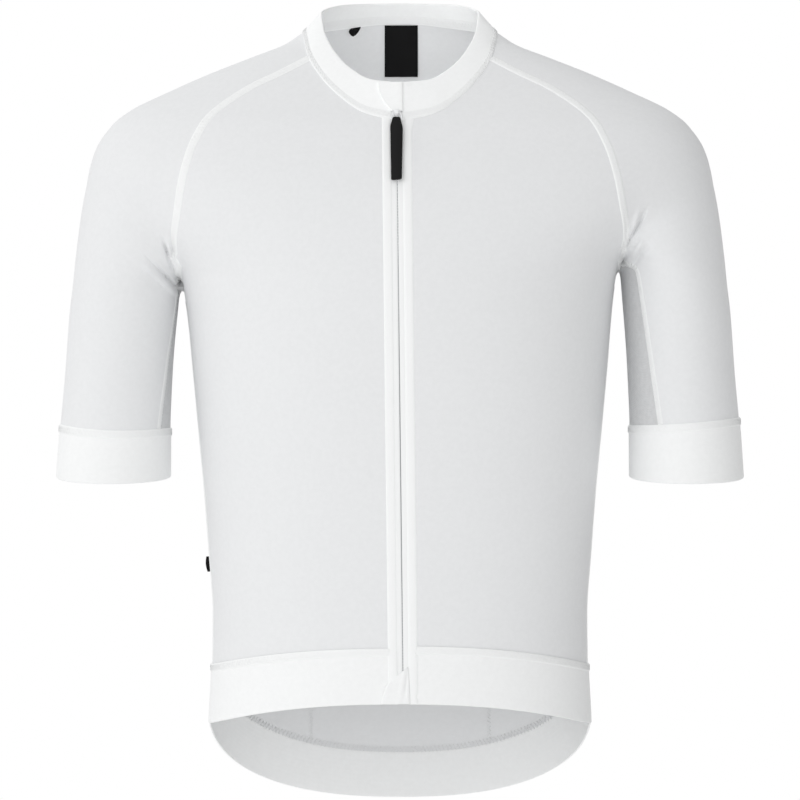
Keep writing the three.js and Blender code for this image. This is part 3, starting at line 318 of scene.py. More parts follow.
def sideSeamPlaces():
    t = np.arange(1, density["side"] + 1) / density["side"]
    ease = np.exp(-6 * t) - math.exp(-6) * t
    turn = seams["sideTurn"] + (89 - seams["sideTurn"]) * ease
    z = armpit[2] + (hemSeam(seams["sideTurn"]) - armpit[2]) * t
    return np.vstack([armpit, settle(torsoPlace(turn, z, 1))])


sideSeam = sideSeamPlaces()
flip = np.array([-1, 1, 1])


# Meshes from grids. A grid is rows and columns of places p with outward normals n.
def fillPanel(top, bottom, left, right, bulge=0):
    rows, columns = len(left) - 1, len(top) - 1
    u = (np.arange(columns + 1) / columns)[None, :, None]
    v = (np.arange(rows + 1) / rows)[:, None, None]
    guess = (1 - u) * left[:, None] + u * right[:, None] + (1 - v) * top[None] + v * bottom[None]
    guess = guess - (1 - u) * (1 - v) * top[0] - u * (1 - v) * top[-1]
    guess = guess - (1 - u) * v * bottom[0] - u * v * bottom[-1]
    guess = guess + np.array([0, bulge, 0]) * np.sin(np.pi * u) * np.minimum(1, 6 * v * (1 - v))
    return onForm(guess)


def runs(p, axis):
    step = np.linalg.norm(np.diff(p, axis=axis), axis=-1)
    start = np.zeros_like(np.take(step, [0], axis=axis))
    return np.concatenate([start, np.cumsum(step, axis=axis)], axis=axis)


clothPieces = []


def wall(name, grid, outer, inner, material, closed=False):
    p, n = grid
    rows, columns = p.shape[:2]
    level = [np.broadcast_to(np.asarray(h, float), (rows, columns))[..., None] for h in (outer, inner)]
    points = lifted(np.concatenate([(p + n * h).reshape(-1, 3) for h in level])) * mm
    across, along = runs(p, 1) * mm, runs(p, 0) * mm
    uv = np.concatenate([np.stack([across, along], -1).reshape(-1, 2)] * 2)
    index = np.arange(rows * columns).reshape(rows, columns)
    back = index + rows * columns
    a, b, c, d = index[:-1, :-1], index[1:, :-1], index[1:, 1:], index[:-1, 1:]
    quads = [np.stack([a, b, c, d], -1).reshape(-1, 4)]
    a, b, c, d = back[:-1, :-1], back[1:, :-1], back[1:, 1:], back[:-1, 1:]
    quads.append(np.stack([a, d, c, b], -1).reshape(-1, 4))
    quads.append(np.stack([index[0, :-1], index[0, 1:], back[0, 1:], back[0, :-1]], -1))
    quads.append(np.stack([index[-1, 1:], index[-1, :-1], back[-1, :-1], back[-1, 1:]], -1))
    if not closed:
        quads.append(np.stack([index[1:, 0], index[:-1, 0], back[:-1, 0], back[1:, 0]], -1))
        quads.append(np.stack([index[:-1, -1], index[1:, -1], back[1:, -1], back[:-1, -1]], -1))
    piece = meshPiece(name, points, np.concatenate(quads), material, uv, closed)
    clothPieces.append(piece)
    return piece


def placed(name, data):
    thing = bpy.data.objects.new(name, data)
    bpy.context.scene.collection.objects.link(thing)
    return thing


def meshPiece(name, points, faces, material, uv=None, weld=False, smooth=50):
    mesh = bpy.data.meshes.new(name)
    mesh.from_pydata(np.asarray(points).tolist(), [], np.asarray(faces).tolist())
    if uv is not None:
        layer = mesh.uv_layers.new(name="Cloth")
        corner = np.empty(len(mesh.loops), int)
        mesh.loops.foreach_get("vertex_index", corner)
        layer.data.foreach_set("uv", np.asarray(uv)[corner].astype(np.float32).ravel())
    bm = bmesh.new()
    bm.from_mesh(mesh)
    if weld:
        bmesh.ops.remove_doubles(bm, verts=bm.verts, dist=2e-6)
    if bm.calc_volume(signed=True) < 0:
        bmesh.ops.reverse_faces(bm, faces=bm.faces)
    bm.to_mesh(mesh)
    bm.free()
    mesh.polygons.foreach_set("use_smooth", [True] * len(mesh.polygons))
    mesh.set_sharp_from_angle(angle=math.radians(smooth))
    piece = placed(name, mesh)
    piece.data.materials.append(material)
    return piece


def dress(piece, nodes=(), body="garment"):
    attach(piece, body)
    if nodes:
        piece.name = f"{nodes[0]}_shown"
        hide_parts(*nodes)


def sewn(node, grid, high, low, material, closed=False):
    dress(wall(node, grid, high, low, material, closed), [node])


# Materials
def linearColour(code):
    channels = [int(code[i:i + 2], 16) / 255 for i in (1, 3, 5)]
    return [c / 12.92 if c <= 0.04045 else ((c + 0.055) / 1.055) ** 2.4 for c in channels] + [1]


def newMaterial(name, colour, roughness, sheen=0.0, specular=0.5):
    material = bpy.data.materials.new(name)
    material.use_nodes = True
    tree = material.node_tree
    shader = tree.nodes["Principled BSDF"]
    shader.inputs["Base Color"].default_value = linearColour(colour)
    shader.inputs["Roughness"].default_value = roughness
    shader.inputs["Sheen Weight"].default_value = sheen
    shader.inputs["Specular IOR Level"].default_value = specular
    return material, tree, shader


def addNode(tree, kind, settings=(), inputs=(), links=()):
    node = tree.nodes.new(kind)
    for name, value in dict(settings).items():
        setattr(node, name, value)
    for name, value in dict(inputs).items():
        node.inputs[name].default_value = value
    for name, socket in dict(links).items():
        tree.links.new(socket, node.inputs[name])
    return node


def colourDrift(tree, shader, light, dark, scale, place):
    settings = {"Scale": scale, "Detail": 3.0}
    noise = addNode(tree, "ShaderNodeTexNoise", inputs=settings, links={"Vector": place})
    ramp = addNode(tree, "ShaderNodeValToRGB", links={"Fac": noise.outputs["Fac"]})
    ramp.color_ramp.elements[0].position = 0.35
    ramp.color_ramp.elements[0].color = linearColour(dark)
    ramp.color_ramp.elements[1].position = 0.65
    ramp.color_ramp.elements[1].color = linearColour(light)
    tree.links.new(ramp.outputs["Color"], shader.inputs["Base Color"])


def bumpFrom(tree, shader, height, strength, distance):
    bump = addNode(tree, "ShaderNodeBump", inputs={"Strength": strength, "Distance": distance},
                   links={"Height": height})
    tree.links.new(bump.outputs["Normal"], shader.inputs["Normal"])


def grain(tree, shader, scale, strength):
    place = addNode(tree, "ShaderNodeTexCoord").outputs["Object"]
    settings = {"Scale": scale, "Detail": 2.0}
    noise = addNode(tree, "ShaderNodeTexNoise", inputs=settings, links={"Vector": place})
    bumpFrom(tree, shader, noise.outputs["Fac"], strength, 0.0001)


def wave(tree, place, pitch, axis):
    # one wave for each pitch in metres; Blender's wave has 20 / (2 pi) bands for each unit of scale
    return addNode(tree, "ShaderNodeTexWave", settings={"bands_direction": axis},
                   inputs={"Scale": 2 * math.pi / 20 / pitch}, links={"Vector": place})


def multiply(tree, a, b):
    node = addNode(tree, "ShaderNodeMath", settings={"operation": "MULTIPLY"})
    tree.links.new(a, node.inputs[0])
    tree.links.new(b, node.inputs[1])
    return node.outputs[0]


knit = {
    # Warp-knit polyester: matt, with a faint sheen at grazing angles and fine knit wales.
    "panelKnit": {"light": "#e9eaeb", "dark": "#e7e8e9", "wale": 0.0011, "course": 0.0013, "bump": 0.10},
    # Rib mesh under the arm: courses 1.9 mm apart that show as fine level lines. Its colour is darker than
    # the panels' partly as painted shade for the inward-facing panel under the arm.
    "underarmRibShaded": {"light": "#d6d7d8", "dark": "#d0d1d2", "wale": 0.0016, "course": 0.0019, "bump": 0.6},
    # Elastic band knit at hem and cuffs: smoother and brighter, with upright ribs 1.2 mm apart.
    "bandKnit": {"light": "#f5f6f6", "dark": "#f3f4f4", "wale": 0.0012, "course": 0.0040, "bump": 0.14},
    # Collar jersey knit: close and smooth.
    "collarKnit": {"light": "#fafbfb", "dark": "#f8f9f9", "wale": 0.0009, "course": 0.0010, "bump": 0.08},
}


def clothMaterial(name):
    facts = knit[name]
    material, tree, shader = newMaterial(name, facts["light"], 0.85, sheen=0.08, specular=0.2)
    shader.inputs["Sheen Roughness"].default_value = 0.5
    place = addNode(tree, "ShaderNodeUVMap", settings={"uv_map": "Cloth"}).outputs["UV"]
    body = addNode(tree, "ShaderNodeTexCoord").outputs["Object"]
    colourDrift(tree, shader, facts["light"], facts["dark"], 260.0, body)
    wales = wave(tree, place, facts["wale"], "X")
    courses = wave(tree, place, facts["course"], "Y")
    height = multiply(tree, wales.outputs["Fac"], courses.outputs["Fac"])
    bumpFrom(tree, shader, height, facts["bump"], 0.0002)
    return material


cloth = {name: clothMaterial(name) for name in knit}


def threadMaterial(name, colour):
    # Twisted polyester thread: brighter than the knit, slightly glossy.
    material, tree, shader = newMaterial(name, colour, 0.6, sheen=0.1, specular=0.4)
    grain(tree, shader, 1600.0, 0.3)
    return material


seamBand = threadMaterial("flatlockThread", "#f5f6f6")
tapeCloth = threadMaterial("zipTapeWoven", "#f3f4f4")
coilNylon = threadMaterial("zipCoilNylon", "#a6a8aa")


def blackWoven():
    # Woven polyester label, dull black with a fine ribbed face.
    material, tree, shader = newMaterial("blackWovenLabel", "#0e0e0f", 0.8, specular=0.15)
    place = addNode(tree, "ShaderNodeUVMap", settings={"uv_map": "Cloth"}).outputs["UV"]
    ribs = wave(tree, place, 0.0007, "Y")
    bumpFrom(tree, shader, ribs.outputs["Fac"], 0.3, 0.0001)
    return material


def blackMoulded():
    # Soft moulded PVC: satin black with a very fine moulding grain.
    material, tree, shader = newMaterial("blackMouldedPvc", "#0b0b0c", 0.55, specular=0.2)
    grain(tree, shader, 3500.0, 0.2)
    return material


def whiteLacquer():
    # Die-cast zinc, sprayed white and baked: glossy, with a slight unevenness of the coat.
    material, tree, shader = newMaterial("whiteLacqueredZinc", "#eff0f1", 0.28)
    grain(tree, shader, 900.0, 0.05)
    return material


labelCloth, pullPlastic, sliderPaint = blackWoven(), blackMoulded(), whiteLacquer()
print("materials made")


# Torso panels
panels = {"thick": 0.8, "opening": zipLine["opening"], "backBulge": 70}


def hemSeamRow(side, columns):
    z = float(hemSeam(0))
    edge = facing([zipX(z) + side * panels["opening"]], [z], -1)[0]
    start = turnOf(lambda turn: abs(torsoPlace(turn, hemSeam(turn), 1)[0]), abs(edge[0][0]))
    turns = np.linspace(start, seams["sideTurn"], columns + 1)
    row = settle(torsoPlace(turns, hemSeam(turns), side))
    row[0] = edge[0]
    row[-1] = sideSeam[-1] * np.array([side, 1, 1])
    return row, turns


def frontPanel(name, side):
    steps = density["raglan"] + density["side"]
    z = np.linspace(float(neckZ(0)), float(hemSeam(0)), steps + 1)
    left = facing(zipX(z) + side * panels["opening"], z, -1)[0]
    right = np.vstack([raglanFront, sideSeam[1:]]) * np.array([side, 1, 1])
    start = turnOf(neckX, abs(left[0][0]))
    top = neckPlace(np.linspace(start, seams["raglanTurn"], density["front"] + 1), side)
    top[0] = left[0]
    bottom = hemSeamRow(side, density["front"])[0]
    grid = fillPanel(top, bottom, left, right)
    sewn(name, grid, 0, -panels["thick"], cloth["panelKnit"])


def roundBack(u, start):
    turn = start + (360 - 2 * start) * u
    return np.where(turn <= 180, turn, 360 - turn), np.where(turn <= 180, -1, 1)


def backPanel():
    u = np.linspace(0, 1, density["back"] + 1)
    right = np.vstack([raglanBack, sideSeam[1:]])
    turn, side = roundBack(u, seams["backTurn"])
    top = neckPlace(turn, side)
    turn, side = roundBack(u, seams["sideTurn"])
    bottom = settle(torsoPlace(turn, hemSeam(turn), side))
    grid = fillPanel(top, bottom, right * flip, right, panels["backBulge"])
    sewn("back", grid, 0, -panels["thick"], cloth["panelKnit"])


frontPanel("front_right", -1)
frontPanel("front_left", 1)
backPanel()
print("torso panels made")


# Sleeves, underarm panels and cuffs. Turns go from the sleeve's inner line towards the front.
sleeves = {
    "right": {"side": -1, "outer": -334, "front": -339, "inner": -337, "top": 14, "underarm": 34},
    "left": {"side": 1, "outer": -328, "front": -333, "inner": -335, "top": 44, "underarm": 60},
}
sleeveShape = {"underarmBack": 45, "upperArm": -191, "tilt": 41, "cuffBottom": -378, "cuffDip": 5.8,
               "dipPower": 0.8, "capBow": 1.3, "evenings": 12}


def sleeveRing(turn, z):
    angle = np.radians(turn)
    centre = (armInner(z) + armOuter(z)) / 2
    width = (armOuter(z) - armInner(z)) / 2
    y = armMiddle(z) - armDepth(z) * np.sin(angle)
    return np.stack([centre - width * np.cos(angle), y, z + 0 * y], -1)


def cuffSeam(end, turn):
    middle = (end["inner"] + end["outer"]) / 2
    tilt = (end["inner"] - end["outer"]) / 2 * np.cos(np.radians(turn))
    return middle + tilt + (end["front"] - middle) * np.sin(np.radians(turn)) ** 2


def sleeveLines(places, across, turns, end):
    top, low = turns
    armTop = sleeveShape["upperArm"] - sleeveShape["tilt"] * np.cos(np.radians(top))
    upper = settle(sleeveRing(top, armTop))
    away = upper - places
    length = np.linalg.norm(away, axis=1)
    lean = np.maximum(0.1, np.sum(across * away, 1) / length)
    first = across * (length * np.minimum(1, lean * sleeveShape["capBow"]))[:, None]
    last = np.stack([0 * length, 0 * length, -length], -1)
    t = np.linspace(0, 1, 61)[:, None, None]
    guess = places + away * t * t * (3 - 2 * t) + first * t * (1 - t) ** 2 + last * t * t * (t - 1)
    cap = settle(guess)
    cap = np.stack([evenly(cap[:, k], density["cap"]) for k in range(len(top))], 1)
    r = (np.arange(1, density["arm"] + 1) / density["arm"])[:, None]
    arm = sleeveRing(top + (low - top) * r, armTop + (cuffSeam(end, low) - armTop) * r)
    grid = settle(np.vstack([cap, arm]))
    for _ in range(sleeveShape["evenings"]):
        middle = grid[:-2, 1:-1] + grid[2:, 1:-1] + grid[1:-1, :-2] + grid[1:-1, 2:]
        grid[1:-1, 1:-1] = settle(middle / 4, 2)
    return grid, unit(slopeAt(grid))


def armhole(end):
    under = density["under"]
    shoulder = neckPlace(np.linspace(seams["raglanTurn"], seams["backTurn"], density["neck"] + 1))[1:-1]
    upper = np.vstack([raglanFront[:-under][::-1], shoulder, raglanBack[:-under]])
    lower = np.vstack([raglanBack[-under - 1:], raglanFront[-under - 1:-1][::-1]])
    around = np.vstack([upper, lower[1:-1]])
    ahead, behind = np.roll(around, -1, 0), np.roll(around, 1, 0)
    across = unit(np.cross(unit(slopeAt(around)), ahead - behind))
    across = across * np.sign(across @ np.array([1, 0, -0.6]))[:, None]
    count = len(upper)
    lowerAcross = np.vstack([across[count - 1:], across[:1]])
    finish = 360 - sleeveShape["underarmBack"]
    starts = (end["top"], end["underarm"])
    return ((upper, across[:count], [np.linspace(turn, finish, count) for turn in starts]),
            (lower, lowerAcross, [np.linspace(finish, 360 + turn, len(lower)) for turn in starts]))


def sided(grid, side):
    p, n = grid
    return onForm(p * flip) if side < 0 else (p, n)


sleeveEdges = {}
for name, end in sleeves.items():
    upper, lower = armhole(end)
    grids = [sided(sleeveLines(*part, end), end["side"]) for part in (upper, lower)]
    for part, grid, knitName in zip(("sleeve", "underarm"), grids, ("panelKnit", "underarmRibShaded")):
        sewn(f"{part}_{name}", grid, 0, -panels["thick"], cloth[knitName])
    sleeveEdges[name] = (grids[0][0][:, 0], grids[0][0][:, -1])


def rolledEdge(rows):
    # how far a band's lower edge rolls in over its last rows
    near = np.arange(hem["rollRows"] + 1) / hem["rollRows"]
    lift = np.zeros(rows)
    lift[-len(near):] = hem["roll"] * (1 - np.sqrt(1 - near**2))
    return lift[:, None]


def bandRows(count, edge, length):
    # rows that crowd towards both edges, so that the edges can be round
    near = np.array([0, 0.15, 0.4, 0.8, 1.4]) * edge / 1.4
    inner = np.linspace(edge, length - edge, count)[1:-1]
    return np.concatenate([near, inner, (length - near)[::-1]]) / length


def bandPiece(node, grid, closed=False):
    roll = rolledEdge(len(grid[0]))
    outer, inner = hem["proud"] - roll, hem["proud"] - hem["rib"] + roll
    sewn(node, grid, outer, inner, cloth["bandKnit"], closed=closed)


def cuff(name, end):
    turn = np.linspace(0, 360, 129)
    dip = np.where(turn % 360 < 180, sleeveShape["cuffDip"], sleeveShape["cuffDip"] / 3)
    bottom = sleeveShape["cuffBottom"] - dip * np.abs(np.sin(np.radians(turn))) ** sleeveShape["dipPower"]
    rows = bandRows(16, hem["edge"], 44)
    top = cuffSeam(end, turn)
    z = top + (bottom - top) * rows[:, None]
    grid = sided(onForm(sleeveRing(np.broadcast_to(turn, z.shape), z)), end["side"])
    bandPiece(f"cuff_{name}", grid, closed=True)


for name, end in sleeves.items():
    cuff(name, end)
print("sleeves made")


# Hem band
def hemFront(name, side):
    row, turns = hemSeamRow(side, density["front"])
    rows = bandRows(14, hem["edge"], 45)
    z = row[:, 2] + (hemHeight(turns) - row[:, 2]) * rows[:, None]
    place = settle(torsoPlace(np.broadcast_to(turns, z.shape), z, side))
    place[:, 0] = facing(zipX(z[:, 0]) + side * panels["opening"], z[:, 0], -1)[0]
    bandPiece(name, (place, unit(slopeAt(place))))


def hemBack():
    turn, side = roundBack(np.linspace(0, 1, density["back"] + 1), seams["sideTurn"])
    rows = bandRows(14, hem["edge"], 44)
    z = hemSeam(turn) + (hemHeight(turn) - hemSeam(turn)) * rows[:, None]
    bandPiece("hem_back", onForm(torsoPlace(np.broadcast_to(turn, z.shape), z, side)))


hemFront("hem_front_right", -1)
hemFront("hem_front_left", 1)
hemBack()


# Collar, from the neck seam to a rounded rim
def collarPlace(turn, rise, side):
    def at(angle):
        low = neckPlace(angle, side)
        high = np.stack([rimX(angle) * side, rimY(angle), rimZ(angle)], -1)
        return low, high
    low, high = at(turn)
    p = low + (high - low) * rise[..., None]
    along = []
    for shifted in (np.minimum(180, turn + 1), np.maximum(0, turn - 1)):
        a, b = at(shifted)
        along.append(a + (b - a) * rise[..., None])
    n = unit(np.cross(along[0] - along[1], high - low))
    outward = np.sum(n[..., :2] * p[..., :2], -1)
    return p, n * np.sign(outward)[..., None]


def collarGrid(columns=140, rows=None):
    rows = bandRows(12, 1.4, 30) if rows is None else rows
    z = neckZ(0) + (rimZ(0) - neckZ(0)) * rows
    turns = []
    for height, rise in zip(z, rows):
        def width(turn):
            return neckX(turn) + (rimX(turn) - neckX(turn)) * rise
        right = turnOf(width, panels["opening"] - zipX(height))
        left = turnOf(width, panels["opening"] + zipX(height))
        turns.append(np.linspace(right, 360 - left, columns + 1))
    turns = np.array(turns)
    side = np.where(turns <= 180, -1, 1)
    turn = np.where(turns <= 180, turns, 360 - turns)
    rise = np.broadcast_to(rows[:, None], turn.shape)
    return collarPlace(turn, rise, side)


# Soft creases on the collar's front: two ends across and up, the width and the rise
collarCreases = [
    (15, -50, 30, -44, 1.6, -0.6), (16, -54, 33, -47, 2.2, 0.4), (22, -66, 40, -56, 3.0, 0.35),
    (-24, -56, -12, -66, 2.6, 0.35), (-40, -44, -26, -58, 3.0, -0.3),
]


def collar():
    grid = collarGrid()
    roll = rolledEdge(len(grid[0]))
    puff = 0.7 * np.sin(np.pi * np.linspace(0, 1, len(grid[0])))[:, None]
    x, y, z = np.moveaxis(grid[0], -1, 0)
    for x1, z1, x2, z2, width, height in collarCreases:
        length = math.hypot(x2 - x1, z2 - z1)
        t = ((x - x1) * (x2 - x1) + (z - z1) * (z2 - z1)) / length**2
        away = ((x - x1) * (z2 - z1) - (z - z1) * (x2 - x1)) / length
        fade = np.sin(np.pi * np.clip((t + 0.2) / 1.4, 0, 1)) ** 2 * (y < 0)
        puff = puff + height * fade * np.exp(-((away / width) ** 2))
    sewn("collar", grid, 0.1 + puff - roll, -hem["rib"] + 0.2 + roll, cloth["collarKnit"])


collar()
print("collar and hem made")


# A place on the centre front: on the collar above the neck seam, on the form below it
def centreFront(x, z):
    x, z = np.broadcast_arrays(np.asarray(x, float), np.asarray(z, float))
    p, n = facing(x, np.minimum(z, float(neckZ(0))), -1)
    turn, rise = np.zeros(x.shape), np.zeros(x.shape)
    for _ in range(8):
        low = neckZ(turn)
        rise = np.clip((z - low) / (rimZ(turn) - low), 0, 1)
        near, far = np.zeros(x.shape), np.full(x.shape, 60.0)
        for _ in range(24):
            middle = (near + far) / 2
            small = neckX(middle) + (rimX(middle) - neckX(middle)) * rise < np.abs(x)
            near, far = np.where(small, middle, near), np.where(small, far, middle)
        turn = near
    high, highNormal = collarPlace(turn, rise, np.where(x < 0, -1, 1))
    above = (z > neckZ(0))[..., None]
    return np.where(above, high, p), np.where(above, highNormal, n)


zipper = {"stripInner": 4.6, "stripOuter": 12.2, "stripRise": 0.5, "collarInner": 6.1, "collarOuter": 15.5,
          "tapeHalf": 8.6, "tapeLevel": 0.1, "gap": 0.45, "rows": 170, "stripColumns": 12,
          "stripTop": -49.2, "rightFoot": -552.0, "tapeTop": -50.5, "tapeColumns": 12,
          "dimples": (-520.7, -557.5), "dimpleHalf": 1.8}


def smoothStep(value, low, high):
    t = np.clip((value - low) / (high - low), 0, 1)
    return t * t * (3 - 2 * t)


def zipBand(start, finish, top, bottom, rows, columns):
    z = np.linspace(top, bottom, rows + 1)[:, None]
    u = np.linspace(0, 1, columns + 1)[None]
    start = start(z) if callable(start) else start
    finish = finish(z) if callable(finish) else finish
    return centreFront(zipX(z) + start + (finish - start) * u, z + 0 * u), z


def dome(columns, power=4):
    u = np.linspace(-1, 1, columns + 1)
    return (1 - np.abs(u) ** power)[None]


def stripEdge(key, side):
    # the strip on the wearer's left is wider on the collar, where it is the collar's folded edge
    def at(z):
        wide = smoothStep(z, -92, -76) if side > 0 else 0 * z
        low, high = zipper["strip" + key], zipper["collar" + key]
        return side * (low + (high - low) * wide)
    return at


seamZ = float(hemSeam(0))
for name, side, foot in (("right", -1, zipper["rightFoot"]), ("left", 1, float(hemHeight(0)) + 0.4)):
    edges = (stripEdge("Inner", side), stripEdge("Outer", side))
    grid, z = zipBand(*edges, zipper["stripTop"], foot, zipper["rows"], zipper["stripColumns"])
    low = 0.08 + (hem["proud"] + 0.1) * (1 - smoothStep(z, seamZ - 4, seamZ + 1))
    u = np.linspace(0, 1, zipper["stripColumns"] + 1)[None]
    dimples = zipper["dimples"] if side > 0 else ()
    spots = sum((np.exp(-(((z - at) / zipper["dimpleHalf"]) ** 2)) for at in dimples), 0 * z)
    high = low + 0.05 + zipper["stripRise"] * dome(zipper["stripColumns"], 4)
    high = high - 0.9 * spots * smoothStep(u, 0.72, 0.95)
    sewn(f"zip_strip_{name}", grid, high, low - 0.3, seamBand)
    inner, outer = side * zipper["gap"], side * zipper["tapeHalf"]
    ends = (zipper["tapeTop"], zipLine["bottom"])
    grid, z = zipBand(inner, outer, *ends, zipper["rows"], zipper["tapeColumns"])
    u = np.linspace(0, 1, zipper["tapeColumns"] + 1)[None]
    under = smoothStep(u, 0.6, 0.75)
    raised = 0.5 * (1 - smoothStep(z, seamZ - 4, seamZ + 1)) * (1 - under)
    level = zipper["tapeLevel"] - 1.2 * under - 0.25 * (u == 0) + raised
    sewn(f"zip_tape_{name}", grid, level, level - 0.7, tapeCloth)
print("zip cloth made")


# Zip garage over the top of the zip
garage = {"top": -49.5, "bottom": -74.5, "topLeft": -15.5, "bottomLeft": -4, "right": 5.3, "rise": 2.2,
          "thick": 1.1, "sweep": 2.2}


def garageLeft(t):
    return garage["topLeft"] + (garage["bottomLeft"] - garage["topLeft"]) * t ** garage["sweep"]


def zipGarage():
    t = bandRows(14, 1.4, 26)[:, None]
    z = garage["top"] + (garage["bottom"] - garage["top"]) * t
    left = garageLeft(t)
    u = np.concatenate([[0, 0.02, 0.06], np.linspace(0.12, 0.88, 10), [0.94, 0.98, 1]])[None]
    grid = centreFront(zipX(z) + left + (garage["right"] - left) * u, z + 0 * u)
    edge = np.minimum(1, np.minimum(u, 1 - u) / 0.06) * np.minimum(1, np.minimum(t + 0.05, 1 - t) / 0.06)
    high = garage["rise"] - 0.5 * (1 - np.sqrt(np.maximum(edge, 0)))
    sewn("zip_garage", grid, high, high - garage["thick"], cloth["collarKnit"])


zipGarage()


# Folded end of the hem over the foot of the zip
tuck = {"topLeft": (-8.8, -545.7), "topRight": (6.5, -533.1), "bottomLeft": -16.4, "bottomRight": 8.8,
        "bottom": -563.6, "rise": 1.9, "crease": 0.83}


def hemTuck():
    v = np.linspace(0, 1, 27)[:, None]
    u = np.linspace(0, 1, 33)[None]
    left = tuck["topLeft"][0] + (tuck["bottomLeft"] - tuck["topLeft"][0]) * v**0.6
    right = tuck["topRight"][0] + (tuck["bottomRight"] - tuck["topRight"][0]) * v**0.5
    top = tuck["topLeft"][1] + (tuck["topRight"][1] - tuck["topLeft"][1]) * u
    grid = facing(left + (right - left) * u, top + (tuck["bottom"] - top) * v, -1)
    edge = np.minimum(1, np.minimum(u, 1 - u) / 0.09) * np.minimum(1, np.minimum(v + 0.15, 1.3 - v) / 0.3)
    place = tuck["crease"] + 0.11 * (1 - v) - 0.06 * v
    fold = 0.75 * np.exp(-(((u - place) / 0.05) ** 2)) * np.sin(np.pi * np.clip(v * 1.2, 0, 1)) ** 0.5
    swell = 0.35 * np.exp(-(((u - place + 0.16) / 0.09) ** 2))
    high = hem["proud"] + 0.5 + (tuck["rise"] - 0.5) * np.sqrt(np.maximum(edge, 0)) - fold + swell
    sewn("hem_tuck", grid, high, hem["proud"] + 0.2, cloth["bandKnit"])


hemTuck()


# Rear pockets: one cloth with three mouths, stitched down between them
pockets = {"top": -452, "turn": 104, "ease": 1.1, "bag": 4.0, "dividers": (0.335, 0.665)}


def rearPockets():
    u = np.linspace(0, 1, 121)
    turn, side = roundBack(u, pockets["turn"])
    low = hemSeam(turn) + 1
    v = bandRows(40, 1.4, 170)[:, None]
    z = pockets["top"] + (low - pockets["top"]) * v
    grid = onForm(torsoPlace(np.broadcast_to(turn, z.shape), z, side))
    cells = np.searchsorted(pockets["dividers"], u)
    edges = np.array((0,) + pockets["dividers"] + (1,))
    local = (u - edges[cells]) / (edges[cells + 1] - edges[cells])
    bag = np.sin(np.pi * np.clip(local, 0, 1)) ** 0.7 * pockets["bag"]
    shape = np.sin(np.pi * np.clip(v, 0, 1) ** 0.62) ** 0.8 * 0.55 + 0.45 * (1 - v) ** 3
    high = pockets["ease"] + 0.7 + bag[None] * shape
    sewn("back_pockets", grid, high, high - 0.8, cloth["panelKnit"])


rearPockets()


# Labels and tags
label = {"left": -13.4, "right": 15.6, "top": 11.5, "bottom": -31, "level": -1.1, "curl": 1.2}


def neckLabel():
    x = np.linspace(label["left"], label["right"], 21)[None]
    v = np.linspace(0, 1, 25)[:, None]
    z = label["top"] + (label["bottom"] - label["top"]) * v
    lift = label["level"] - label["curl"] * v**2
    grid = facing(x + 0 * z, z + 0 * x, 1)
    sewn("neck_label", grid, lift, lift - 0.5, labelCloth)


neckLabel()


hanger = {"left": -41.4, "lobe": 3.3, "right": -35.2, "bulge": 0.5, "slant": 4.2, "top": 8.3,
          "corner": 1.7, "drop": 5.6, "lift": 0.6, "puff": 0.8}


def hangerTab():
    # a folded end of tape: one round lobe and one that runs up to a corner
    v = np.linspace(0, 1, 15)[:, None]
    u = np.linspace(0, 1, 13)[None]
    left = hanger["left"] - hanger["lobe"] * np.sin(np.pi * (0.1 + 0.85 * v)) ** 0.8
    right = hanger["right"] + hanger["bulge"] * (1 - v) ** 3 - hanger["slant"] * v**1.8
    z = hanger["top"] + hanger["corner"] * u * (1 - v) - (hanger["drop"] - hanger["lift"] * u) * v
    grid = facing(left + (right - left) * u, z, 1)
    puff = hanger["puff"] * np.sin(np.pi * u) * (0.55 + 0.45 * np.cos(2 * np.pi * (u - 0.28)))
    sewn("hanger_tab", grid, -1.2, -1.9 - puff, labelCloth)


hangerTab()


tag = {"top": -447, "bottom": -460, "turn": 98.0, "start": 0.2, "reach": 4.6}


def sideTag():
    z = np.linspace(tag["top"], tag["bottom"], 13)
    p, n = onForm(torsoPlace(np.full(13, tag["turn"]), z, -1))
    across = unit(np.array([0, 1, 0]) - n * n[:, 1:2])
    bow = np.sin(np.pi * np.linspace(0, 1, 13))
    u = np.linspace(0, 1, 7)
    reach = tag["start"] + (tag["reach"] + bow)[:, None] * u[None]
    grid = (p[:, None] + n[:, None] * reach[..., None], np.broadcast_to(across[:, None], (13, 7, 3)))
    sewn("side_tag", grid, 0.5, -0.5, labelCloth)


sideTag()
print("pockets, labels and tags made")


# Slider, ring and pull, in the slider's own frame: X across, Z up the zip, heights towards -Y
slider = {"pivotZ": -77, "pivotRise": 4.2, "tilt": 25, "half": 4, "top": 9, "bottom": -3, "face": 0.6,
          "wire": 0.6, "ringTop": 2.6, "ringHalf": 4.9, "ringDrop": 6, "bridge": 3.4}
pull = {"topHalf": 3, "wideHalf": 5.2, "endHalf": 4.4, "length": 63.7, "thick": 2.0}
seat = centreFront(np.array([zipX(slider["pivotZ"])]), np.array([slider["pivotZ"]]))[0][0]
tilt = math.radians(slider["tilt"])
turnMatrix = np.array([[1, 0, 0], [0, math.cos(tilt), math.sin(tilt)], [0, -math.sin(tilt), math.cos(tilt)]])
pivot = seat + turnMatrix @ np.array([0, -slider["pivotRise"], 0])


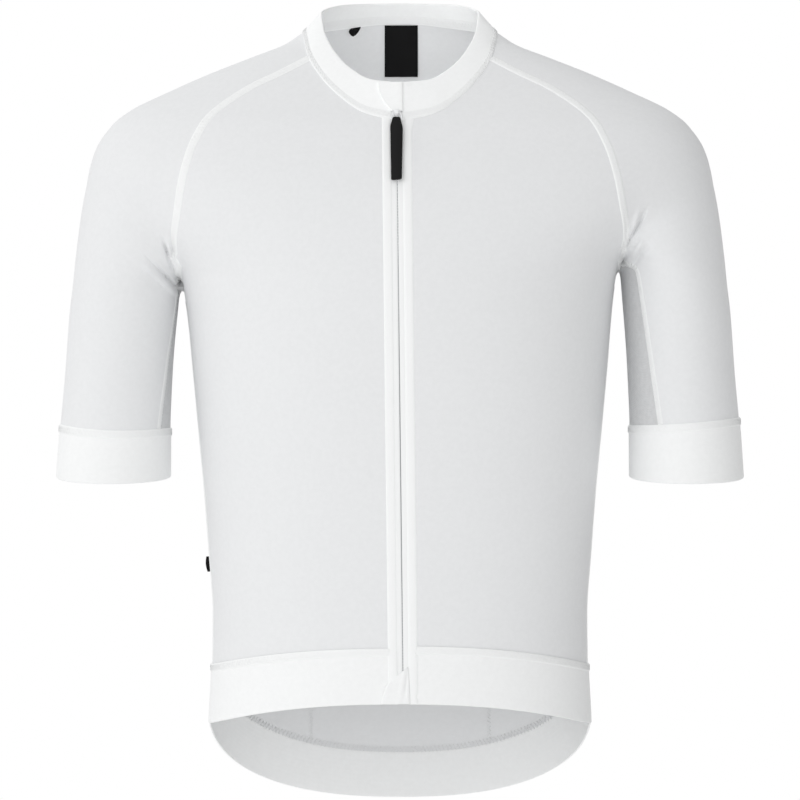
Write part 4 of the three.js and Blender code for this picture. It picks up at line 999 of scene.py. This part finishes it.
def extruded(outline, low, high, origin, bevel, name, material):
    bm = bmesh.new()
    front = [bm.verts.new((x, -high, z)) for x, z in outline]
    behind = [bm.verts.new((x, -low, z)) for x, z in outline]
    bm.faces.new(front)
    bm.faces.new(behind[::-1])
    count = len(outline)
    for k in range(count):
        j = (k + 1) % count
        bm.faces.new((front[j], front[k], behind[k], behind[j]))
    bmesh.ops.recalc_face_normals(bm, faces=bm.faces)
    bmesh.ops.bevel(bm, geom=bm.edges[:], offset=bevel, segments=3, profile=0.5, affect="EDGES",
                    clamp_overlap=True)
    for vertex in bm.verts:
        vertex.co = (turnMatrix @ np.array(vertex.co) + origin) * mm
    mesh = bpy.data.meshes.new(name)
    bm.to_mesh(mesh)
    bm.free()
    mesh.polygons.foreach_set("use_smooth", [True] * len(mesh.polygons))
    mesh.set_sharp_from_angle(angle=math.radians(50))
    piece = placed(name, mesh)
    piece.data.materials.append(material)
    return piece


def joined(name, pieces):
    bm = bmesh.new()
    for piece in pieces:
        bm.from_mesh(piece.data)
        mesh = piece.data
        bpy.data.objects.remove(piece)
        bpy.data.meshes.remove(mesh)
    mesh = bpy.data.meshes.new(name)
    bm.to_mesh(mesh)
    bm.free()
    return placed(name, mesh)


def arcOutline(corners, radius, steps=5):
    # an outline with each corner rounded by its own radius
    out = []
    count = len(corners)
    for k in range(count):
        before, here, after = (np.array(corners[(k + j) % count], float) for j in (-1, 0, 1))
        r = min(radius, 0.45 * np.linalg.norm(before - here), 0.45 * np.linalg.norm(after - here))
        a = here + unit(before - here) * r
        b = here + unit(after - here) * r
        for t in np.linspace(0, 1, steps):
            out.append(tuple((1 - t) ** 2 * a + 2 * t * (1 - t) * here + t * t * b))
    return out


def makeSlider():
    s = slider
    outline = [(-s["half"], s["top"] - 2), (-s["half"] + 1.5, s["top"]), (s["half"] - 1.5, s["top"]),
               (s["half"], s["top"] - 2), (s["half"] - 1, s["bottom"]), (-s["half"] + 1, s["bottom"])]
    outline = arcOutline(outline, 1.2, 4)
    slot = s["pivotRise"] - s["wire"] - 0.3
    top = slot + 2 * s["wire"] + 1.6
    wide = s["bridge"] / 2
    square = [(-wide, -2.3), (wide, -2.3), (wide, 2.3), (-wide, 2.3)]
    feet = [[(-wide, low), (wide, low), (wide, low + 1.2), (-wide, low + 1.2)] for low in (-2.3, 1.1)]
    parts = [extruded(outline, -1.6, s["face"], seat, 0.35, "plate", sliderPaint),
             extruded(outline, -5.6, -4.6, seat, 0.35, "backPlate", sliderPaint),
             extruded([(-1.1, 5), (1.1, 5), (1.1, 8), (-1.1, 8)], -4.8, -1.4, seat, 0.1, "post", sliderPaint),
             extruded(square, slot + 1.8, top, seat, 0.4, "bridge", sliderPaint)]
    parts += [extruded(foot, s["face"] - 0.3, top - 0.6, seat, 0.3, "foot", sliderPaint) for foot in feet]
    piece = joined("zip_slider", parts)
    piece.data.materials.append(sliderPaint)
    dress(piece, ["zip_slider"])


def tubeAlong(name, path, radius, sides, material):
    ahead, behind = np.roll(path, -1, 0), np.roll(path, 1, 0)
    along = unit(ahead - behind)
    out = np.broadcast_to(turnMatrix @ np.array([0, 1, 0]), path.shape)
    across = unit(np.cross(along, out))
    angle = np.linspace(0, 2 * np.pi, sides, endpoint=False)
    ring = across[:, None] * np.cos(angle)[None, :, None] + out[:, None] * np.sin(angle)[None, :, None]
    points = (path[:, None] + radius * ring).reshape(-1, 3) * mm
    count = len(path)
    index = np.arange(count * sides).reshape(count, sides)
    faces = np.stack([index, np.roll(index, -1, 0), np.roll(np.roll(index, -1, 0), -1, 1),
                      np.roll(index, -1, 1)], -1).reshape(-1, 4)
    return meshPiece(name, points, faces, material, smooth=80)


def makeRing():
    s = slider
    corners = [(-s["ringTop"], 0), (s["ringTop"], 0), (s["ringHalf"], -s["ringDrop"]),
               (-s["ringHalf"], -s["ringDrop"])]
    outline = arcOutline(corners, 1.4, 9)
    path = np.array([(x, 0, z) for x, z in outline]) @ turnMatrix.T + pivot
    dense = []
    for k in range(len(path)):
        a, b = path[k], path[(k + 1) % len(path)]
        parts = max(1, int(np.linalg.norm(b - a) / 0.5))
        dense += [a + (b - a) * j / parts for j in range(parts)]
    piece = tubeAlong("pull_ring", np.array(dense), s["wire"], 16, sliderPaint)
    dress(piece, ["pull_ring"], "zip_pull")


def makePull():
    q, drop = pull, slider["ringDrop"]
    corners = [(-q["topHalf"], -drop + 1.4), (q["topHalf"], -drop + 1.2), (q["wideHalf"], -drop - 9),
               (q["endHalf"], -q["length"] + 1), (-q["endHalf"], -q["length"]), (-q["wideHalf"], -drop - 7)]
    half = q["thick"] / 2
    piece = extruded(arcOutline(corners, 1.6, 5), -half, half, pivot, 0.45, "pull_tab", pullPlastic)
    dress(piece, ["pull_tab"], "zip_pull")


makeSlider()
makeRing()
makePull()
print("slider and pull made")


# Flatlock bands over the seams, with their zigzag thread
band = {"half": 3.4, "rise": 0.55, "underarmHalf": 2.4, "underarmRise": 0.25, "underarmStep": 3.0,
        "sideHalf": 1.6, "sideRise": 0.3, "columns": 8}


def ribbon(name, path, half, rise, step=5.0, level=0.0):
    # a flat band along a path; it gives back its places, normals and side vectors
    path = np.asarray(path, float)
    length = np.sum(np.linalg.norm(np.diff(path, axis=0), axis=1))
    path = settle(evenly(path, max(4, int(length / step))))
    n = unit(slopeAt(path))
    along = unit(np.gradient(path, axis=0))
    across = unit(np.cross(n, along))
    u = np.linspace(-1, 1, band["columns"] + 1)
    grid = onForm(path[:, None] + across[:, None] * (u[None, :, None] * half))
    high = level + 0.08 + rise * dome(band["columns"], 6)
    dress(wall(name, grid, high, level - 0.15, seamBand))
    return path, n, across


def newTree(name, sizes):
    # a tree with its places, its named sizes and its material as inputs
    tree = bpy.data.node_groups.new(name, "GeometryNodeTree")
    tree.interface.new_socket("Geometry", in_out="INPUT", socket_type="NodeSocketGeometry")
    for key, value in sizes.items():
        tree.interface.new_socket(key, in_out="INPUT", socket_type="NodeSocketFloat").default_value = value
    tree.interface.new_socket("Material", in_out="INPUT", socket_type="NodeSocketMaterial")
    tree.interface.new_socket("Geometry", in_out="OUTPUT", socket_type="NodeSocketGeometry")
    return tree, addNode(tree, "NodeGroupInput").outputs


def endTree(tree, inputs, shape):
    real = addNode(tree, "GeometryNodeRealizeInstances", links={"Geometry": shape}).outputs[0]
    done = addNode(tree, "GeometryNodeSetMaterial", links={"Geometry": real, "Material": inputs["Material"]})
    addNode(tree, "NodeGroupOutput", links={"Geometry": done.outputs[0]})
    return tree


def grown(name, points, edges, tree, settings, attributes):
    # the tree's shape on these places, kept as a plain mesh
    mesh = bpy.data.meshes.new(name + "Path")
    mesh.from_pydata((np.array(points) * mm).tolist(), edges, [])
    for attribute, values in attributes.items():
        layer = mesh.attributes.new(attribute, "FLOAT_VECTOR", "POINT")
        layer.data.foreach_set("vector", unit(np.array(values)).astype(np.float32).ravel())
    source = placed(name + "Path", mesh)
    modifier = source.modifiers.new("shape", "NODES")
    modifier.node_group = tree
    for item in tree.interface.items_tree:
        if item.in_out == "INPUT" and item.name in settings:
            modifier[item.identifier] = settings[item.name]
    ready = source.evaluated_get(bpy.context.evaluated_depsgraph_get())
    result = bpy.data.meshes.new_from_object(ready)
    source.modifiers.remove(modifier)
    bpy.data.objects.remove(source)
    result.name = name
    return placed(name, result)


def threadTree():
    tree, inputs = newTree("zigzagThread", {"Half width": 0.0025, "Rise": 0.0004, "Thread": 0.0002})
    index = addNode(tree, "GeometryNodeInputIndex").outputs[0]
    odd = addNode(tree, "ShaderNodeMath", {"operation": "MODULO"}, {1: 2.0}, {0: index}).outputs[0]
    swing = addNode(tree, "ShaderNodeMath", {"operation": "MULTIPLY_ADD"}, {1: 2.0, 2: -1.0}, {0: odd})
    links = {0: swing.outputs[0], 1: inputs["Half width"]}
    wide = addNode(tree, "ShaderNodeMath", {"operation": "MULTIPLY"}, (), links)
    moves = []
    for attribute, amount in (("across", wide.outputs[0]), ("lift", inputs["Rise"])):
        vector = addNode(tree, "GeometryNodeInputNamedAttribute", {"data_type": "FLOAT_VECTOR"},
                         {"Name": attribute}).outputs["Attribute"]
        moves.append(addNode(tree, "ShaderNodeVectorMath", {"operation": "SCALE"}, (),
                             {0: vector, "Scale": amount}).outputs[0])
    links = dict(enumerate(moves))
    offset = addNode(tree, "ShaderNodeVectorMath", {"operation": "ADD"}, (), links).outputs[0]
    moved = addNode(tree, "GeometryNodeSetPosition", (), (),
                    {"Geometry": inputs["Geometry"], "Offset": offset}).outputs[0]
    curve = addNode(tree, "GeometryNodeMeshToCurve", (), (), {"Mesh": moved}).outputs[0]
    profile = addNode(tree, "GeometryNodeCurvePrimitiveCircle", (), {"Resolution": 5},
                      {"Radius": inputs["Thread"]}).outputs[0]
    tube = addNode(tree, "GeometryNodeCurveToMesh", (), {"Fill Caps": True},
                   {"Curve": curve, "Profile Curve": profile}).outputs[0]
    return endTree(tree, inputs, tube)


zigzag = threadTree()


# Each line of stitches: its step, half its width, how far it stands up and its thread's radius
stitchLines = {
    "flatlock_stitches": {"pitch": 1.5, "half": 2.3, "rise": 0.62, "thread": 0.17},
    "side_stitches": {"pitch": 1.8, "half": 0.9, "rise": 0.36, "thread": 0.14},
    "hem_stitches": {"pitch": 1.6, "half": 2.2, "rise": 1.36, "thread": 0.15},
    "cuff_stitches": {"pitch": 1.6, "half": 2.4, "rise": 1.36, "thread": 0.15},
    "collar_stitches": {"pitch": 1.7, "half": 2.2, "rise": 1.0, "thread": 0.15},
    "collar_stitches_inside": {"pitch": 1.8, "half": 1.8, "rise": 0.1, "thread": 0.14},
    "garage_stitches": {"pitch": 1.1, "half": 0.3, "rise": 0.05, "thread": 0.13},
    "hem_overlock": {"pitch": 1.7, "half": 2.9, "rise": 0.25, "thread": 0.22},
    "pocket_stitches": {"pitch": 2.2, "half": 0.7, "rise": 0.1, "thread": 0.15},
    "pocket_stitches_inside": {"pitch": 1.7, "half": 1.6, "rise": 0.2, "thread": 0.18},
}


def stitched(name, paths):
    # each path is its places, normals and side vectors; the thread swings from side to side
    line = stitchLines[name]
    points, across, lift, edges = [], [], [], []
    for path, n, side in paths:
        length = np.sum(np.linalg.norm(np.diff(path, axis=0), axis=1))
        count = max(4, int(length / line["pitch"]))
        run = np.concatenate([[0], np.cumsum(np.linalg.norm(np.diff(path, axis=0), axis=1))])
        want = np.linspace(0, run[-1], count + 1)
        start = len(points)
        for source, store in ((path, points), (n, lift), (side, across)):
            store.extend(np.stack([np.interp(want, run, source[:, k]) for k in range(3)], -1))
        edges += [(start + k, start + k + 1) for k in range(count)]
    settings = {"Half width": line["half"] * mm, "Rise": line["rise"] * mm, "Thread": line["thread"] * mm,
                "Material": seamBand}
    piece = grown(name, lifted(points), edges, zigzag, settings, {"across": across, "lift": lift})
    piece.data.polygons.foreach_set("use_smooth", [True] * len(piece.data.polygons))
    dress(piece)


seamPaths = {}
underarmBand = (band["underarmHalf"], band["underarmRise"], band["underarmStep"])
for name, side in (("right", -1), ("left", 1)):
    turned = np.array([side, 1, 1])
    for place, path in (("raglan_front", raglanFront), ("raglan_back", raglanBack)):
        key = f"{place}_{name}"
        seamPaths[key] = ribbon("band_" + key, path[:-3] * turned, band["half"], band["rise"])
    for place, path in zip(("underarm_front", "underarm_back"), sleeveEdges[name]):
        key = f"{place}_{name}"
        seamPaths[key] = ribbon("band_" + key, path[3:], *underarmBand)
    key = f"side_seam_{name}"
    seamPaths[key] = ribbon("band_" + key, sideSeam[3:] * turned, band["sideHalf"], band["sideRise"])
raglans = [path for key, path in seamPaths.items() if "side" not in key]
sides = [path for key, path in seamPaths.items() if "side" in key]
stitched("flatlock_stitches", raglans)
stitched("side_stitches", sides)
print("flatlock seams made")

# The strips at the top of the hem band and the cuffs
strip = {"hemDrop": {"right": 2.4, "left": 0.6, "back": 1.5}, "cuffDrop": 3.6, "half": 3.3, "rise": 0.55}
hemPaths = []
for name, side in (("right", -1), ("left", 1)):
    edge = zipper["stripOuter"] - 0.8 + side * float(zipX(seamZ))
    start = turnOf(lambda turn: abs(torsoPlace(turn, hemSeam(turn), 1)[0]), edge)
    turns = np.linspace(start, seams["sideTurn"], 120)
    drop = strip["hemDrop"][name] + (strip["hemDrop"]["back"] - strip["hemDrop"][name]) * (turns / 82) ** 2
    path = torsoPlace(turns, hemSeam(turns) - drop, side)
    hemPaths.append(ribbon(f"hem_strip_{name}", path, strip["half"], strip["rise"], level=hem["proud"]))
turn, side = roundBack(np.linspace(0, 1, 200), seams["sideTurn"])
path = torsoPlace(turn, hemSeam(turn) - strip["hemDrop"]["back"], side)
hemPaths.append(ribbon("hem_strip_back", path, strip["half"], strip["rise"], level=hem["proud"]))
stitched("hem_stitches", hemPaths)
cuffPaths = []
for name, end in sleeves.items():
    turns = np.linspace(0, 360, 181)
    ring = sleeveRing(turns, cuffSeam(end, turns) - strip["cuffDrop"]) * np.array([end["side"], 1, 1])
    cuffPaths.append(ribbon(f"cuff_strip_{name}", ring, 3.5, strip["rise"], level=hem["proud"]))
stitched("cuff_stitches", cuffPaths)
print("hem and cuff strips made")


# Coverstitch band along the collar's lower edge, and the double line inside its back
def collarBand(name, low, high, level, rise):
    rows = np.linspace(low, high, 9)
    p, n = collarGrid(150, rows)
    lift = level + rise * (1 - np.abs(np.linspace(-1, 1, 9)) ** 6)[:, None]
    dress(wall(name, (p, n), lift, level - 0.25, seamBand))
    return p, n


bandPlaces, bandNormals = collarBand("collar_band", 0.01, 0.22, 0.45, 0.45)
middle = bandPlaces[4]
across = unit(bandPlaces[8] - bandPlaces[0])
stitched("collar_stitches", [(middle, bandNormals[4], across)])


# Inside the collar, the seam's flat tape round the back
def collarInside():
    p, n = collarGrid(150, np.linspace(0.03, 0.42, 13))
    high = -1.35 - 0.3 * (1 - np.abs(np.linspace(-1, 1, 13)) ** 5)[:, None]
    dress(wall("collar_tape_inside", (p, n), -1.2, high, seamBand))
    return p, n


insidePlaces, insideNormals = collarInside()
middle, normal = insidePlaces[6], insideNormals[6]
paths = [(middle - normal * 1.6, -normal, unit(insidePlaces[12] - insidePlaces[0]))]
stitched("collar_stitches_inside", paths)

# A line of stitches along the garage's free edge
t = np.linspace(0.04, 0.97, 60)
z = garage["top"] + (garage["bottom"] - garage["top"]) * t
edgePlaces, edgeNormals = centreFront(zipX(z) + garageLeft(t) + 1.5, z)
sideways = unit(np.cross(edgeNormals, np.gradient(edgePlaces, axis=0)))
paths = [(edgePlaces + edgeNormals * (garage["rise"] + 0.02), edgeNormals, sideways)]
stitched("garage_stitches", paths)

# Inside stitches: the hem's overlock and the pocket dividers
turn, side = roundBack(np.linspace(0, 1, 220), seams["sideTurn"])
inner, innerNormal = onForm(torsoPlace(turn, hemSeam(turn) + 2, side))
innerAcross = unit(np.cross(innerNormal, np.gradient(inner, axis=0)))
paths = [(inner - innerNormal * 0.9, -innerNormal, innerAcross)]
stitched("hem_overlock", paths)
dividerPaths, dividerInside = [], []
for u in pockets["dividers"]:
    turn, side = roundBack(np.full(80, u), pockets["turn"])
    z = np.linspace(pockets["top"] - 2, float(hemSeam(turn)[0]) + 3, 80)
    p, n = onForm(torsoPlace(turn, z, side))
    sideways = unit(np.cross(n, np.gradient(p, axis=0)))
    dividerPaths.append((p + n * 1.95, n, sideways))
    dividerInside.append((p - n * 0.85, -n, sideways))
stitched("pocket_stitches", dividerPaths)
stitched("pocket_stitches_inside", dividerInside)
print("inside stitches made")


# Zip teeth: the coil's loops show between the tapes as a fine dotted line
def toothTree():
    tree, inputs = newTree("zipTeeth", {"Width": 0.0016, "Thick": 0.0007})
    links = {"X": inputs["Width"], "Y": inputs["Thick"], "Z": inputs["Thick"]}
    size = addNode(tree, "ShaderNodeCombineXYZ", links=links).outputs[0]
    tooth = addNode(tree, "GeometryNodeMeshCube", links={"Size": size}).outputs["Mesh"]
    links = {"Points": inputs["Geometry"], "Instance": tooth}
    return endTree(tree, inputs, addNode(tree, "GeometryNodeInstanceOnPoints", links=links).outputs[0])


coil = {"top": -86, "pitch": 1.25, "width": 1.5, "thick": 0.68, "level": -0.75}


def zipTeeth():
    z = np.arange(coil["top"], zipLine["bottom"], -coil["pitch"])
    p, n = centreFront(zipX(z), z)
    raised = 0.5 * (1 - smoothStep(z, seamZ - 4, seamZ + 1))
    settings = {"Width": coil["width"] * mm, "Thick": coil["thick"] * mm, "Material": coilNylon}
    places = p + n * (coil["level"] + raised)[:, None]
    dress(grown("zip_coil", places, [], toothTree(), settings, {}), ["zip_coil"])


zipTeeth()
print("zip teeth made")


# the curved cuts' own width and length, where the run along an edge is longer than the cut is
flatSize = {
    "front_right_shown": (0.255, 0.57), "front_left_shown": (0.255, 0.57),
    "sleeve_right_shown": (0.37, 0.43), "sleeve_left_shown": (0.37, 0.42),
}


def flatCut(piece):
    spread = np.empty(2 * len(piece.data.loops), np.float32)
    piece.data.uv_layers["Cloth"].data.foreach_get("uv", spread)
    across, along = (max(0.01, float(most)) for most in spread.reshape(-1, 2).max(0))
    width, length = flatSize.get(piece.name, (across, along))
    sides = np.empty(len(piece.data.polygons), np.float32)
    piece.data.polygons.foreach_get("area", sides)
    area = float(sides.sum()) / 2
    return (width, length), min(width * length, max(0.3 * width * length, area))


for piece in clothPieces:
    flat, area = flatCut(piece)
    print(f"cut {piece.name}: {flat[0] * 1000:.0f} x {flat[1] * 1000:.0f} mm")

# Floor at the height where a wearer would stand, light and camera
stage = {"floor": -1.45, "half": 7, "colour": "#f6f6f6"}
bpy.ops.mesh.primitive_plane_add(size=2 * stage["half"], location=(0, 0, stage["floor"]))
floor = bpy.context.active_object
floor.name = "floor"
floor.data.materials.append(newMaterial("paleFloor", stage["colour"], 0.9)[0])

# A white room with a dim card on the front right, which shades that side of the cloth softly
room = {"bright": 1.0, "dim": 0.36, "card": (0.96, -0.28, 0.0), "from": 0.05, "to": 0.75}
world = bpy.data.worlds.new("studio")
bpy.context.scene.world = world
world.use_nodes = True
tree = world.node_tree
heading = addNode(tree, "ShaderNodeTexCoord").outputs["Generated"]
towards = addNode(tree, "ShaderNodeVectorMath", {"operation": "DOT_PRODUCT"}, {1: room["card"]}, {0: heading})
span = {"From Min": room["from"], "From Max": room["to"], "To Min": room["bright"], "To Max": room["dim"]}
shade = addNode(tree, "ShaderNodeMapRange", {"interpolation_type": "SMOOTHSTEP"}, span,
                {"Value": towards.outputs["Value"]})
background = tree.nodes["Background"]
background.inputs["Color"].default_value = (1, 1, 1, 1)
tree.links.new(shade.outputs["Result"], background.inputs["Strength"])


def areaLight(name, place, aim, size, power):
    data = bpy.data.lights.new(name, "AREA")
    data.shape = "RECTANGLE"
    data.size, data.size_y = size
    data.energy = power
    lamp = placed(name, data)
    lamp.location = place
    away = np.array(place) - np.array(aim)
    flatRun = math.hypot(away[0], away[1])
    lamp.rotation_euler = (math.atan2(flatRun, away[2]), 0, math.atan2(away[0], -away[1]))
    return lamp


areaLight("keyLight", (-1.9, -2.3, 0.9), (0, 0, -0.3), (1.4, 1.4), 8)
areaLight("frontLight", (0.5, -3.1, -0.5), (0, 0, -0.3), (1.6, 1.6), 12.8)
# a small lamp inside the chest, as in pictures of garments on hidden forms, brightens the neck's inside
neckLamp = areaLight("neckLamp", (0, -0.03, -0.2), (0, 0.075, -0.01), (0.06, 0.06), 0.13)
neckLamp.visible_camera = False

view = {"away": 3.2, "height": -0.31365, "width": 0.68, "sensor": 36}
cameraData = bpy.data.cameras.new("camera")
camera = placed("camera", cameraData)
camera.location = (0, -view["away"], view["height"])
camera.rotation_euler = (math.pi / 2, 0, 0)
cameraData.sensor_width = view["sensor"]
cameraData.lens = view["sensor"] * view["away"] / view["width"]
bpy.context.scene.camera = camera
bpy.context.scene.view_settings.view_transform = "Standard"
